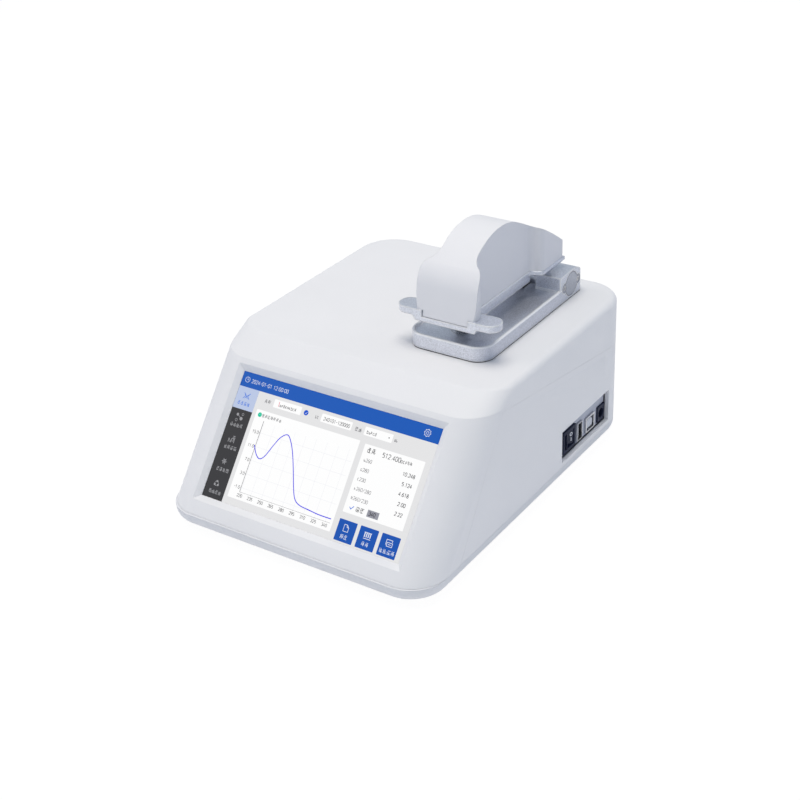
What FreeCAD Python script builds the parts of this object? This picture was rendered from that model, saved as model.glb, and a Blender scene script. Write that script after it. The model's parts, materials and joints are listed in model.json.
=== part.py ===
"""Benchtop microvolume spectrophotometer, built as separate pieces.

Frame: the origin is the centre of the footprint on the table, +X is to the
right seen from the touch screen, +Y to the back and +Z up. Millimetres.
"""
import FreeCAD, Part
import math
import os
from types import SimpleNamespace

import Sketcher

Vector = FreeCAD.Vector
Rotation = FreeCAD.Rotation
Placement = FreeCAD.Placement

doc = FreeCAD.newDocument("spectrophotometer")

# ---------------------------------------------------------------- sizes

SIZES = (
    # case: a wedge with a sloping screen panel, a brow above it and a flat top
    ("half_width", 103.5), ("rear_y", 134.0), ("base_z", 4.5), ("seam_z", 14.6),
    ("foot_y", -132.3), ("head_y", -64.0), ("head_z", 97.9), ("brow_y", -43.4),
    ("top_z", 108.0), ("wall", 3.0), ("rear_corner", 27.0), ("front_corner", 25.0),
    ("top_round", 4.5), ("chin_y", -134.0), ("seam_gap", 0.1),
    ("side_seam_y", -40.0), ("side_seam_z", 95.9), ("side_seam_rear_z", 69.6),
    ("seam_foot_y", -94.0),
    # screen: the height of its centre, its visible area and the bevel round it
    ("screen_z", 58.5), ("view_wide", 154.2), ("view_tall", 85.9),
    ("bevel", 4.2), ("glass_margin", 5.2), ("glass_thick", 1.8), ("seal_thick", 0.3),
    ("lcd_thick", 5.4), ("sheet_metal", 1.5), ("board_thick", 1.6),
    # socket recess in the right side
    ("port_y", 37.0), ("port_long", 68.0), ("port_z", 18.0), ("port_tall", 24.0),
    # measuring tray and the arm's hinge
    ("arm_x", 45.35), ("tray_half", 29.85), ("tray_y", -13.8), ("tray_rear", 116.5),
    ("tray_corner", 12.0), ("tray_rear_corner", 3.5), ("tray_top", 118.4), ("tray_rim", 1.9),
    ("tray_floor", 116.8), ("tray_screw_top", 113.0), ("seal_height", 0.7),
    ("ear_y", 85.4), ("ear_top", 127.8), ("ear_gap_half", 10.65), ("ear_round", 10.0),
    ("cap_thick", 1.0), ("cap_depth", 1.05), ("cap_gap", 0.32), ("hinge_y", 101.0),
    ("hinge_z", 118.3), ("axle_radius", 4.0), ("bush_radius", 6.0), ("knuckle_radius", 8.5),
    ("knuckle_half", 10.2),
    # arm frame and its cover
    ("frame_low", 128.0), ("frame_top", 135.6), ("plate_low", 132.2), ("wing_low", 131.1),
    ("beam_half", 14.0), ("head_half", 22.2), ("wing_half", 37.2), ("frame_front", -13.5),
    ("wing_rear", 1.3), ("plate_start", 69.0), ("plate_full", 79.0), ("frame_rear", 105.5),
    ("notch_half", 16.9), ("notch_deep", 4.5), ("cover_wall", 2.0),
    # measuring point
    ("spot_y", 8.0), ("pedestal_radius", 4.0), ("pedestal_top", 118.6), ("light_gap", 1.0),
    # inner deck
    ("deck_z", 20.0), ("deck_thick", 2.5),
    # running gap between turning or sliding pieces and their holes, and a push fit's gap
    ("running", 0.04), ("push", 0.02),
)


class Length:
    """A number that remembers the sheet expression it comes from."""

    def __init__(self, value, text):
        self.value = value
        self.text = text

    def __add__(self, other):
        other = length(other)
        return Length(self.value + other.value, f"({self.text} + {other.text})")

    def __sub__(self, other):
        other = length(other)
        return Length(self.value - other.value, f"({self.text} - {other.text})")

    def __mul__(self, other):
        other = length(other)
        return Length(self.value * other.value, f"({self.text} * {other.text})")

    def __truediv__(self, other):
        other = length(other)
        return Length(self.value / other.value, f"({self.text} / {other.text})")

    def __neg__(self):
        return Length(-self.value, f"(0 - {self.text})")

    def __radd__(self, other):
        return length(other) + self

    def __rsub__(self, other):
        return length(other) - self

    def __rmul__(self, other):
        return length(other) * self


def length(number):
    """The number as a Length, so that plain numbers and sheet sizes mix."""
    if isinstance(number, Length):
        return number
    return Length(float(number), repr(float(number)))


def root(square):
    """Square root of a Length."""
    return Length(math.sqrt(square.value), f"sqrt({square.text})")


def make_sheet():
    """Put the driving sizes in the sheet and return them as Lengths by name."""
    sheet = doc.addObject("Spreadsheet::Sheet", "Sizes")
    named = {}
    for row, (alias, number) in enumerate(SIZES, start=1):
        sheet.set(f"A{row}", alias)
        sheet.set(f"B{row}", str(number))
        sheet.setAlias(f"B{row}", alias)
        named[alias] = Length(number, f"Sizes.{alias}")
    doc.recompute()
    return SimpleNamespace(**named)


d = make_sheet()

# ---------------------------------------------------------------- building helpers

SUB_PARTS = []
TURN = {
    "x": Rotation(Vector(0, 1, 0), 90),
    "y": Rotation(Vector(1, 0, 0), -90),
    "z": Rotation(),
}


def sub_part(node, piece):
    """Name a finished piece and list it for writing."""
    doc.recompute()
    piece.Label = node
    SUB_PARTS.append(piece)
    return piece


def bind(item, path, amount):
    """Tie one property of a document object to the sheet."""
    item.setExpression(path, length(amount).text)


def place(item, corner, rotation=None):
    """Put a document object at a corner whose coordinates follow the sheet."""
    numbers = [length(amount).value for amount in corner]
    item.Placement = Placement(Vector(*numbers), rotation or Rotation())
    for axis, amount in zip("xyz", corner):
        bind(item, f".Placement.Base.{axis}", amount)


def block(name, low, spans):
    """Box from its lowest corner and its spans along X, Y and Z."""
    box = doc.addObject("Part::Box", name)
    for path, span in zip(("Length", "Width", "Height"), spans):
        bind(box, path, span)
    place(box, low)
    return box


def rod(name, start, axis, radius, reach):
    """Cylinder from the centre of its first face, along +X, +Y or +Z."""
    cylinder = doc.addObject("Part::Cylinder", name)
    bind(cylinder, "Radius", radius)
    bind(cylinder, "Height", reach)
    place(cylinder, start, TURN[axis])
    return cylinder


def fuse(name, *pieces):
    """One solid from pieces that touch or overlap."""
    joined = doc.addObject("Part::MultiFuse", name)
    joined.Shapes = list(pieces)
    joined.Refine = True
    return joined


def group(name, *pieces):
    """Identical separate solids kept as one object."""
    together = doc.addObject("Part::Compound", name)
    together.Links = list(pieces)
    return together


def cut(name, base, *tools):
    """Base with the tools taken away."""
    result = doc.addObject("Part::Cut", name)
    result.Base = base
    result.Tool = tools[0] if len(tools) == 1 else group(name + "_tools", *tools)
    result.Refine = True
    return result


def common(name, *pieces):
    """What solids share."""
    shared = doc.addObject("Part::MultiCommon", name)
    shared.Shapes = list(pieces)
    return shared


def mirror_x(name, source):
    """The piece's mirror image on the other side of the middle plane."""
    image = doc.addObject("Part::Mirroring", name)
    image.Source = source
    image.Normal = Vector(1, 0, 0)
    return image


def fillet(name, base, radius, wanted):
    """Round the edges whose centre and bounds satisfy wanted(edge)."""
    doc.recompute()
    rounded = doc.addObject("Part::Fillet", name)
    rounded.Base = base
    size = length(radius).value
    picked = [number for number, edge in enumerate(base.Shape.Edges, start=1) if wanted(edge)]
    if not picked:
        raise RuntimeError(f"{name}: no edge to round")
    rounded.Edges = [(number, size, size) for number in picked]
    return rounded


def flat_at(axis, level):
    """Edge test: the whole edge lies at this level along an axis."""
    number = length(level).value

    def test(edge):
        box = edge.BoundBox
        low = getattr(box, axis + "Min")
        high = getattr(box, axis + "Max")
        return abs(low - number) < 1e-3 and abs(high - number) < 1e-3
    return test


def along(axis):
    """Edge test: a straight edge that runs along an axis."""
    unit = {"X": Vector(1, 0, 0), "Y": Vector(0, 1, 0), "Z": Vector(0, 0, 1)}[axis]

    def test(edge):
        if edge.Curve.TypeId != "Part::GeomLine":
            return False
        return abs(abs(edge.Curve.Direction.dot(unit)) - 1) < 1e-6
    return test


# ---------------------------------------------------------------- sketches

def new_body(name, placement=None):
    """Empty body, placed in the frame."""
    body = doc.addObject("PartDesign::Body", name)
    if placement:
        body.Placement = placement
    return body


def arc_geometry(start, end, radius):
    """Short arc between two points; a positive radius turns left along the way."""
    chord = end - start
    left = Vector(-chord.y, chord.x, 0).normalize()
    size = abs(radius)
    rise = math.sqrt(max(size ** 2 - (chord.Length / 2) ** 2, 0))
    centre = (start + end) * 0.5 + left * math.copysign(rise, radius)
    first, last = (start, end) if radius > 0 else (end, start)
    angles = [math.atan2(point.y - centre.y, point.x - centre.x) for point in (first, last)]
    circle = Part.Circle(centre, Vector(0, 0, 1), size)
    return Part.ArcOfCircle(circle, *angles)


def add_outline(sketch, outline):
    """Closed outline: each corner is (x, y) or (x, y, radius of the arc that leaves it)."""
    corners = [(length(c[0]), length(c[1]), length(c[2]) if len(c) > 2 else None) for c in outline]
    points = [Vector(x.value, y.value, 0) for x, y, _ in corners]
    first = sketch.GeometryCount
    ends = []
    for index, (_, _, radius) in enumerate(corners):
        start = points[index]
        end = points[(index + 1) % len(points)]
        if radius is None:
            sketch.addGeometry(Part.LineSegment(start, end), False)
            ends.append((1, 2))
        else:
            sketch.addGeometry(arc_geometry(start, end, radius.value), False)
            ends.append((1, 2) if radius.value > 0 else (2, 1))
    for index, (x, y, radius) in enumerate(corners):
        here = first + index
        following = first + (index + 1) % len(corners)
        next_start = ends[(index + 1) % len(corners)][0]
        sketch.addConstraint(Sketcher.Constraint("Coincident", here, ends[index][1], following, next_start))
        for kind, amount in (("DistanceX", x), ("DistanceY", y)):
            row = sketch.addConstraint(Sketcher.Constraint(kind, -1, 1, here, ends[index][0], amount.value))
            sketch.setExpression(f"Constraints[{row}]", amount.text)
        if radius is not None:
            row = sketch.addConstraint(Sketcher.Constraint("Radius", here, abs(radius.value)))
            sketch.setExpression(f"Constraints[{row}]", f"abs({radius.text})")


def draw(body, name, plane, outlines, level=0):
    """Sketch on one of the body's origin planes, moved along the plane's normal."""
    sketch = body.newObject("Sketcher::SketchObject", name)
    support = [item for item in body.Origin.OriginFeatures if item.Role == plane + "_Plane"][0]
    sketch.AttachmentSupport = [(support, "")]
    sketch.MapMode = "FlatFace"
    sketch.AttachmentOffset = Placement(Vector(0, 0, length(level).value), Rotation())
    bind(sketch, ".AttachmentOffset.Base.z", level)
    for outline in outlines:
        add_outline(sketch, outline)
    return sketch


def pad(body, name, sketch, reach, symmetric=False):
    """Extrude a sketch along its normal, or evenly to both sides."""
    feature = body.newObject("PartDesign::Pad", name)
    feature.Profile = sketch
    bind(feature, "Length", reach)
    if symmetric:
        feature.SideType = "Symmetric"
    return feature


def prism(name, plane, outline, reach, level=0, symmetric=False, placement=None):
    """Body made by extruding one closed outline."""
    body = new_body(name, placement)
    sketch = draw(body, name + "_outline", plane, [outline], level)
    pad(body, name + "_pad", sketch, reach, symmetric)
    return body


def loft(name, plane, sections, placement=None):
    """Body through flat sections, each (level, outline), joined by straight lines."""
    body = new_body(name, placement)
    sketches = []
    for number, (level, outline) in enumerate(sections):
        sketches.append(draw(body, f"{name}_section_{number}", plane, [outline], level))
    feature = body.newObject("PartDesign::AdditiveLoft", name + "_loft")
    feature.Profile = sketches[0]
    feature.Sections = sketches[1:]
    feature.Ruled = True
    return body


def tube_run(name, plane, level, path, radius):
    """Body of a round cable or fibre along a flat path of straights and arcs."""
    body = new_body(name)
    spine = body.newObject("Sketcher::SketchObject", name + "_path")
    support = [item for item in body.Origin.OriginFeatures if item.Role == plane + "_Plane"][0]
    spine.AttachmentSupport = [(support, "")]
    spine.MapMode = "FlatFace"
    spine.AttachmentOffset = Placement(Vector(0, 0, length(level).value), Rotation())
    bind(spine, ".AttachmentOffset.Base.z", level)
    points = [Vector(length(p[0]).value, length(p[1]).value, 0) for p in path]
    for start, end, corner in zip(points, points[1:], path):
        if len(corner) > 2:
            spine.addGeometry(arc_geometry(start, end, corner[2]), False)
        else:
            spine.addGeometry(Part.LineSegment(start, end), False)
    ring = body.newObject("Sketcher::SketchObject", name + "_ring")
    ring.AttachmentSupport = [(spine, "Edge1")]
    ring.MapMode = "NormalToEdge"
    ring.MapPathParameter = 0.0
    ring.addGeometry(Part.Circle(Vector(), Vector(0, 0, 1), radius), False)
    ring.addConstraint(Sketcher.Constraint("Coincident", 0, 3, -1, 1))
    ring.addConstraint(Sketcher.Constraint("Radius", 0, radius))
    pipe = body.newObject("PartDesign::AdditivePipe", name + "_pipe")
    pipe.Profile = ring
    pipe.Spine = spine
    return body


def rectangle(left, low, right, high):
    """Outline of an upright rectangle."""
    return [(left, low), (right, low), (right, high), (left, high)]


def rounded_plan(half, front, rear, front_corner, rear_corner, centre=0):
    """Outline of a rectangle with one radius at its front corners and one at its rear ones."""
    left = centre - length(half)
    right = centre + length(half)
    return [
        (left + front_corner, front), (right - front_corner, front, front_corner),
        (right, front + front_corner), (right, rear - rear_corner, rear_corner),
        (right - rear_corner, rear), (left + rear_corner, rear, rear_corner),
        (left, rear - rear_corner), (left, front + front_corner, front_corner),
    ]


# ---------------------------------------------------------------- case

PANEL_RUN = (d.head_y - d.foot_y) / (d.head_z - d.seam_z)
BROW_RUN = (d.brow_y - d.head_y) / (d.top_z - d.head_z)
PANEL_SKEW = root(PANEL_RUN * PANEL_RUN + 1)
BROW_SKEW = root(BROW_RUN * BROW_RUN + 1)


def slanted(name, level, plan, run, rise):
    """Body of a plan outline pushed up and backwards: run is the backward travel per unit of rise."""
    body = new_body(name)
    sketch = draw(body, name + "_outline", "XY", [plan], level)
    feature = pad(body, name + "_pad", sketch, rise)
    feature.UseCustomVector = True
    feature.AlongSketchNormal = True
    feature.Direction = Vector(0, run.value, 1)
    bind(feature, ".Direction.y", run)
    return body


def case_form(name, inset, drop):
    """The case's solid form, its faces moved inwards by inset and its foot lowered by drop.

    It is what three prisms share: one leans back with the screen panel, one with
    the brow and one is upright.
    """
    level = d.seam_z - drop
    rise = d.top_z - inset - level
    half = d.half_width - inset
    rear = d.rear_y - inset
    corner = d.front_corner - inset
    rear_corner = d.rear_corner - inset
    panel_y = d.foot_y + PANEL_SKEW * inset - PANEL_RUN * drop
    brow_y = d.head_y + BROW_SKEW * inset - BROW_RUN * (d.head_z - level)
    leaning = slanted(name + "_panel", level, rounded_plan(half, panel_y, rear + 1, corner, rear_corner),
                      PANEL_RUN, rise)
    browed = slanted(name + "_brow", level, rounded_plan(half, brow_y, rear + 1, corner, rear_corner),
                     BROW_RUN, rise)
    upright = prism(name + "_upright", "XY", rounded_plan(half, panel_y - 60, rear, corner, rear_corner),
                    rise, level)
    return common(name, leaning, browed, upright)


def cover_zone(name, gap):
    """Everything above the side seam and in front of the screen panel's side edges."""
    outline = [
        (d.rear_y + 5, d.top_z + 5), (d.foot_y - 5, d.top_z + 5), (d.foot_y - 5, d.seam_z - 1),
        (d.seam_foot_y + gap, d.seam_z - 1), (d.side_seam_y + gap, d.side_seam_z - gap),
        (d.rear_y + 5, d.side_seam_rear_z - gap),
    ]
    return prism(name, "YZ", outline, d.half_width * 2 + 10, symmetric=True)


screen_slope = math.degrees(math.atan2(1, PANEL_RUN.value))
screen_y = d.foot_y + PANEL_RUN * (d.screen_z - d.seam_z)
SCREEN = Placement(Vector(0, screen_y.value, d.screen_z.value), Rotation(Vector(1, 0, 0), screen_slope))


def on_screen(piece):
    """Move a piece drawn about the screen's centre (Z out of the panel) to the panel."""
    turned = SCREEN.multiply(piece.Placement)
    for axis in "xyz":
        piece.setExpression(f".Placement.Base.{axis}", None)
    piece.Placement = turned
    return piece


def screen_block(name, half_wide, half_tall, depth, thick):
    """Box centred on the screen, from depth down to depth + thick below the panel's face."""
    half_wide = length(half_wide)
    half_tall = length(half_tall)
    low = (-half_wide, -half_tall, -(length(depth) + thick))
    return on_screen(block(name, low, (half_wide * 2, half_tall * 2, thick)))


def screen_rods(name, half_x, half_y, depth, radius, reach):
    """Four rods into the panel, at the corners of a rectangle about the screen's centre."""
    rods = []
    for number, (side, up) in enumerate(((-1, -1), (1, -1), (1, 1), (-1, 1)), start=1):
        start = (length(half_x) * side, length(half_y) * up, -(length(depth) + reach))
        rods.append(on_screen(rod(f"{name}_{number}", start, "z", radius, reach)))
    return rods


BOSS_X = 86
BOSS_UP = 38
BOSS_DEPTH = 2.8
view_half = d.view_wide / 2
view_rise = d.view_tall / 2
glass_depth = d.wall + d.seal_thick
lcd_depth = glass_depth + d.glass_thick
bracket_depth = lcd_depth + d.lcd_thick
BOARD_DEPTH = 19

case_outer = fillet("case_outer", case_form("case_block", length(0), length(0)), d.top_round,
                    flat_at("Z", d.top_z))
case_skin = cut("case_skin", case_outer, case_form("case_hollow", d.wall, length(2)))

# the tray's services pass through two openings in the cover's top
service_opening = block("service_opening", (d.arm_x - 16, d.spot_y - 12, d.top_z - 10), (32, 24, 20))
hinge_opening = block("hinge_opening", (d.arm_x - d.ear_gap_half, 80, d.top_z - 10),
                      (d.ear_gap_half * 2, 33, 20))
screen_opening = loft("screen_opening", "XY", [
    (-(d.wall + 1), rectangle(-view_half, -view_rise, view_half, view_rise)),
    (-d.wall, rectangle(-view_half, -view_rise, view_half, view_rise)),
    (0, rectangle(-view_half - d.bevel, -view_rise - d.bevel, view_half + d.bevel, view_rise + d.bevel)),
    (1, rectangle(-view_half - d.bevel, -view_rise - d.bevel, view_half + d.bevel, view_rise + d.bevel)),
], SCREEN)
TRAY_SCREWS = ((-22, 32), (22, 32), (-22, 72), (22, 72))
tray_screw_holes = [
    rod(f"tray_screw_hole_{number}", (d.arm_x + x, y, d.top_z - 10), "z", 1.6, 20)
    for number, (x, y) in enumerate(TRAY_SCREWS, start=1)
]
DRIVE_SCREWS = ((-18.5, -14.5), (18.5, -14.5), (-18.5, 10.5), (18.5, 10.5))
drive_screw_holes = [
    rod(f"drive_screw_hole_{number}", (d.arm_x + x, d.spot_y + y, d.top_z - 10), "z", 1.6, 20)
    for number, (x, y) in enumerate(DRIVE_SCREWS, start=1)
]
cover_bosses = screen_rods("screen_boss", BOSS_X, BOSS_UP, BOSS_DEPTH, 3.5, bracket_depth - BOSS_DEPTH)
boss_holes = screen_rods("screen_boss_hole", BOSS_X, BOSS_UP, 5.5, 1.3, 10)
cover_skin = common("cover_skin", case_skin, cover_zone("cover_zone", length(0)))
sub_part("top_cover", cut(
    "top_cover", fuse("cover_with_bosses", cover_skin, *cover_bosses), screen_opening, service_opening,
    hinge_opening, *tray_screw_holes, *drive_screw_holes, *boss_holes))

# shallow hollow in each side, deepest under its rear top corner
INSET_DEEP = 1.1


def inset_section(across, depth, top, low):
    """One triangle of the side hollow; the section plane faces the front."""
    skin = d.half_width
    return -length(across), [(skin + 0.4, top), (skin - depth, top - 0.6), (skin + 0.4, low)]


side_inset = loft("side_inset", "XZ", [
    inset_section(-32, -0.3, 90.8, 84.0),
    inset_section(98, INSET_DEEP, 71.6, 44.0),
    inset_section(101.5, -0.3, 71.0, 50.0),
])
port_opening = block("port_opening", (d.half_width - 8, d.port_y, d.port_z), (20, d.port_long, d.port_tall))

CASE_SCREWS = ((-92, -70), (92, -70), (-91, 116), (91, 116))
POST_TALL = 20
RIB_END = 101
RIB_THICK = 3
housing_posts = []
housing_holes = []
for number, (x, y) in enumerate(CASE_SCREWS, start=1):
    rib_start = (min(x, math.copysign(RIB_END, x)), y - RIB_THICK / 2, d.seam_z)
    rib_spans = (RIB_END - abs(x), RIB_THICK, POST_TALL)
    housing_posts.append(rod(f"case_post_{number}", (x, y, d.seam_z), "z", 4, POST_TALL))
    housing_posts.append(block(f"case_rib_{number}", rib_start, rib_spans))
    housing_holes.append(rod(f"case_post_hole_{number}", (x, y, d.seam_z - 1), "z", 1.55, 16))
VENT_COUNT = 11
VENT_STEP = 8
VENT_WIDE = 3
vents = [
    block(f"rear_vent_{number}", (VENT_STEP * (number - 5) - VENT_WIDE / 2, d.rear_y - 10, 30),
          (VENT_WIDE, 20, 16))
    for number in range(VENT_COUNT)
]
housing_skin = cut("housing_skin", case_skin, cover_zone("seam_zone", d.seam_gap))
sub_part("main_housing", cut(
    "main_housing", fuse("housing_with_posts", housing_skin, *housing_posts),
    side_inset, mirror_x("side_inset_left", side_inset), port_opening, *housing_holes, *vents))

# base shell: a shallow pan whose lip stands a little proud of the panel's foot
base_rise = d.seam_z - d.seam_gap - d.base_z
pan = prism("pan", "XY", rounded_plan(d.half_width, d.chin_y, d.rear_y, d.front_corner, d.rear_corner),
            base_rise, d.base_z)
pan_rounded = fillet("pan_rounded", pan, 8, flat_at("Z", d.base_z))
pan_hollow = prism("pan_hollow", "XY", rounded_plan(
    d.half_width - 6, d.chin_y + 6, d.rear_y - 6, d.front_corner - 6, d.rear_corner - 6), 20, d.base_z + 3)
DECK_POSTS = ((-80, -45), (0, -45), (68, -45), (-80, 108), (6, 108), (57, 108))
deck_posts = []
base_holes = []
for number, (x, y) in enumerate(DECK_POSTS, start=1):
    deck_posts.append(rod(f"deck_post_{number}", (x, y, d.base_z + 1), "z", 4, d.deck_z - d.base_z - 1))
    base_holes.append(rod(f"deck_post_hole_{number}", (x, y, d.deck_z - 8), "z", 1.3, 10))
for number, (x, y) in enumerate(CASE_SCREWS, start=1):
    deck_posts.append(rod(f"base_post_{number}", (x, y, d.base_z + 1), "z", 4.5, base_rise - 1))
    base_holes.append(rod(f"case_screw_hole_{number}", (x, y, d.base_z - 1), "z", 1.6, 20))
    base_holes.append(rod(f"case_screw_sink_{number}", (x, y, d.base_z - 1), "z", 3.2, 4.5))
FLOOR_VENT_COUNT = 9
for number in range(FLOOR_VENT_COUNT):
    vent_start = (VENT_STEP * (number - 4) - VENT_WIDE / 2, -20, d.base_z - 1)
    base_holes.append(block(f"floor_vent_{number}", vent_start, (VENT_WIDE, 50, 6)))
pan_shell = cut("pan_shell", pan_rounded, pan_hollow)
sub_part("base_shell", cut("base_shell", fuse("base_with_posts", pan_shell, *deck_posts), *base_holes))

FEET = ((-78, -98), (78, -98), (-78, 100), (78, 100))
feet = []
for number, (x, y) in enumerate(FEET, start=1):
    foot_disc = rod(f"foot_disc_{number}", (x, y, 0), "z", 8.5, d.base_z)
    feet.append(fillet(f"foot_rounded_{number}", foot_disc, 1, flat_at("Z", 0)))
sub_part("rubber_feet", group("rubber_feet", *feet))


def screws(name, places, head, shank, rotation=None):
    """Identical screws, each a head and a shank along Z from the head's outer face.

    head is (radius, height) and shank is (radius, reach); places are head centres.
    """
    pieces = []
    for number, place_at in enumerate(places, start=1):
        top = rod(f"{name}_head_{number}", place_at, "z", head[0], head[1])
        stem_start = (place_at[0], place_at[1], length(place_at[2]) + head[1] - 0.2)
        stem = rod(f"{name}_stem_{number}", stem_start, "z", shank[0], shank[1])
        socket = rod(f"{name}_socket_{number}", (place_at[0], place_at[1], length(place_at[2]) - 0.2),
                     "z", head[0] * 0.45, 1.2)
        pieces.append(cut(f"{name}_{number}", fuse(f"{name}_whole_{number}", top, stem), socket))
    return group(name, *pieces)


sub_part("case_screws", screws("case_screws", [(x, y, d.base_z + 1) for x, y in CASE_SCREWS],
                               (2.9, 2.4), (1.5, 20)))

# ---------------------------------------------------------------- screen

sub_part("screen_seal", cut(
    "screen_seal", screen_block("seal_sheet", view_half + 1.3, view_rise + 2.4, d.wall, d.seal_thick),
    screen_block("seal_window", view_half + 0.3, view_rise + 0.3, d.wall - 1, 5)))
sub_part("touch_glass", screen_block("touch_glass", view_half + d.glass_margin, view_rise + d.glass_margin,
                                     glass_depth, d.glass_thick))
sub_part("lcd_panel", screen_block("lcd_panel", 82.2, 49.5, lcd_depth, d.lcd_thick))

bracket_sheet = screen_block("bracket_sheet", 92, 46, bracket_depth, d.sheet_metal)
bracket_window = screen_block("bracket_window", 70, 26, bracket_depth - 1, 6)
bracket_holes = screen_rods("bracket_hole", BOSS_X, BOSS_UP, bracket_depth - 1, 1.6, 6)
spacer_holes = screen_rods("spacer_hole", 64, 34, bracket_depth - 1, 1.1, 6)
sub_part("display_bracket", cut(
    "display_bracket", bracket_sheet, bracket_window, *bracket_holes, *spacer_holes))


def screen_screws(name, half_x, half_y, depth, head, shank):
    """Four screws driven towards the panel, heads at this depth behind it."""
    pieces = []
    heads = screen_rods(name + "_head", half_x, half_y, depth, head[0], head[1])
    shanks = screen_rods(name + "_stem", half_x, half_y, depth - shank[1], shank[0], length(shank[1]) + 0.2)
    for number, (top, stem) in enumerate(zip(heads, shanks), start=1):
        pieces.append(fuse(f"{name}_{number}", top, stem))
    return group(name, *pieces)


sub_part("display_screws", screen_screws("display_screws", BOSS_X, BOSS_UP, bracket_depth + d.sheet_metal,
                                         (2.6, 1.8), (1.25, 6)))
spacer_reach = BOARD_DEPTH - bracket_depth - d.sheet_metal
sub_part("board_spacers", group("board_spacers", *screen_rods(
    "board_spacer", 64, 34, bracket_depth + d.sheet_metal, 2.5, spacer_reach)))
board_sheet = screen_block("board_sheet", 68, 38, BOARD_DEPTH, d.board_thick)
board_face = BOARD_DEPTH + d.board_thick
# chips and connectors: x, y, width, height and how far they stand off the board
CHIPS = ((-40, -10, 22, 22, 6), (-8, -8, 14, 14, 1.4), (14, -10, 12, 18, 1.2),
         (34, 8, 16, 10, 7), (34, -24, 16, 12, 9), (-58, 18, 10, 16, 6))
chips = [
    on_screen(block(f"board_chip_{number}", (x, y, -(board_face + tall)), (wide, high, tall + 0.2)))
    for number, (x, y, wide, high, tall) in enumerate(CHIPS, start=1)
]
sub_part("main_board", fuse("main_board", board_sheet, *chips))
CELL_THICK = 3.2
sub_part("coin_cell", on_screen(rod("coin_cell", (2, 24, -(board_face + CELL_THICK)), "z", 10, CELL_THICK)))
sub_part("display_ribbon", on_screen(block("display_ribbon", (-25, -20, -(BOARD_DEPTH - 0.1)),
                                           (20, 0.4, BOARD_DEPTH - bracket_depth - 0.2))))

# ---------------------------------------------------------------- sockets in the right side

panel_face = d.half_width - 3.6
panel_back = panel_face - d.sheet_metal
SWITCH = (42.5, 60.0, 20.5, 37.0)
USB_A = (63.5, 70.5, 20.5, 34.0)
USB_B = (76.0, 88.4, 20.5, 32.0)
JACK = (93.5, 103.5, 20.0, 32.0)


def socket_block(name, area, low_x, high_x, margin=0.0):
    """Box over an (y low, y high, z low, z high) area of the socket panel."""
    y_low, y_high, z_low, z_high = area
    return block(name, (low_x, y_low - margin, z_low - margin),
                 (high_x - low_x, y_high - y_low + 2 * margin, z_high - z_low + 2 * margin))


panel_sheet = block("panel_sheet", (panel_back, d.port_y + 0.5, d.port_z + 0.9),
                    (d.sheet_metal, d.port_long - 1.5, d.port_tall - 1.2))
panel_holes = [
    socket_block(f"panel_hole_{number}", area, panel_back - 1, panel_face + 1, 0.15)
    for number, area in enumerate((
        (44.0, 58.5, 22.0, 35.5), USB_A, USB_B, JACK), start=1)
]
panel_tongue = block("panel_tongue", (72, d.port_y + 2, d.port_z + d.port_tall - 1.8),
                     (panel_back - 71.5, d.port_long - 5, d.sheet_metal))
sub_part("socket_panel", cut("socket_panel", fuse("panel_bent", panel_sheet, panel_tongue), *panel_holes))

switch_y = (SWITCH[0] + SWITCH[1]) / 2
switch_z = (SWITCH[2] + SWITCH[3]) / 2
ROCKER_X = 95.0
switch_body = fuse(
    "switch_block", socket_block("switch_bezel", SWITCH, panel_face, panel_face + 1.6),
    block("switch_barrel", (80, 43.9, 22.2), (panel_face - 80, 14.7, 13.1)))
switch_well = block("switch_well", (89, 44.65, 23.0), (20, 13.2, 11.5))
switch_pin_hole = rod("switch_pin_hole", (ROCKER_X, switch_y, 21), "z", 1.04, 16)
sub_part("switch_body", cut("switch_body", switch_body, switch_well, switch_pin_hole))

# the rocker stands at rest with its rear half pressed in
ROCKER_TILT = 6.0
rocker_form = prism("rocker_form", "XY", [
    (89.6, -2), (91.4, -2), (91.4, -3.4), (ROCKER_X, -5.6), (101.6, -5.6), (99.9, 0), (101.6, 5.6),
    (ROCKER_X, 5.6), (91.4, 3.4), (91.4, 2), (89.6, 2)], 11.1, switch_z - 5.55)
rocker_pins = rod("rocker_pins", (ROCKER_X, 0, switch_z - 6.4), "z", 1.0, 12.8)
rocker = fuse("power_rocker", rocker_form, rocker_pins)
doc.recompute()
pivot = Vector(ROCKER_X, 0, 0)
rocker.Placement = Placement(Vector(0, switch_y, 0), Rotation(Vector(0, 0, 1), ROCKER_TILT), pivot)
sub_part("power_rocker", rocker)

usb_a_shell = cut("usb_a_shell", socket_block("usb_a_block", USB_A, 82, 101.2),
                  socket_block("usb_a_mouth", USB_A, 86, 105, -0.5))
usb_a_tongue = block("usb_a_tongue", (85, 64.6, 22.2), (14, 2.0, 10.2))
sub_part("usb_a_port", fuse("usb_a_port", usb_a_shell, usb_a_tongue))
usb_b_shell = cut("usb_b_shell", socket_block("usb_b_block", USB_B, 82, 101.2),
                  socket_block("usb_b_mouth", USB_B, 86, 105, -1.0))
usb_b_tongue = block("usb_b_tongue", (85, 79.4, 24.2), (14, 5.6, 3.4))
sub_part("usb_b_port", fuse("usb_b_port", usb_b_shell, usb_b_tongue))
jack_y = (JACK[0] + JACK[1]) / 2
jack_z = (JACK[2] + JACK[3]) / 2
jack_shell = cut("jack_shell", socket_block("jack_block", JACK, 84, 101.0),
                 rod("jack_mouth", (90, jack_y, jack_z), "x", 3.6, 20))
jack_pin = rod("jack_pin", (88, jack_y, jack_z), "x", 1.1, 11)
sub_part("power_jack", fuse("power_jack", jack_shell, jack_pin))
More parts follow.
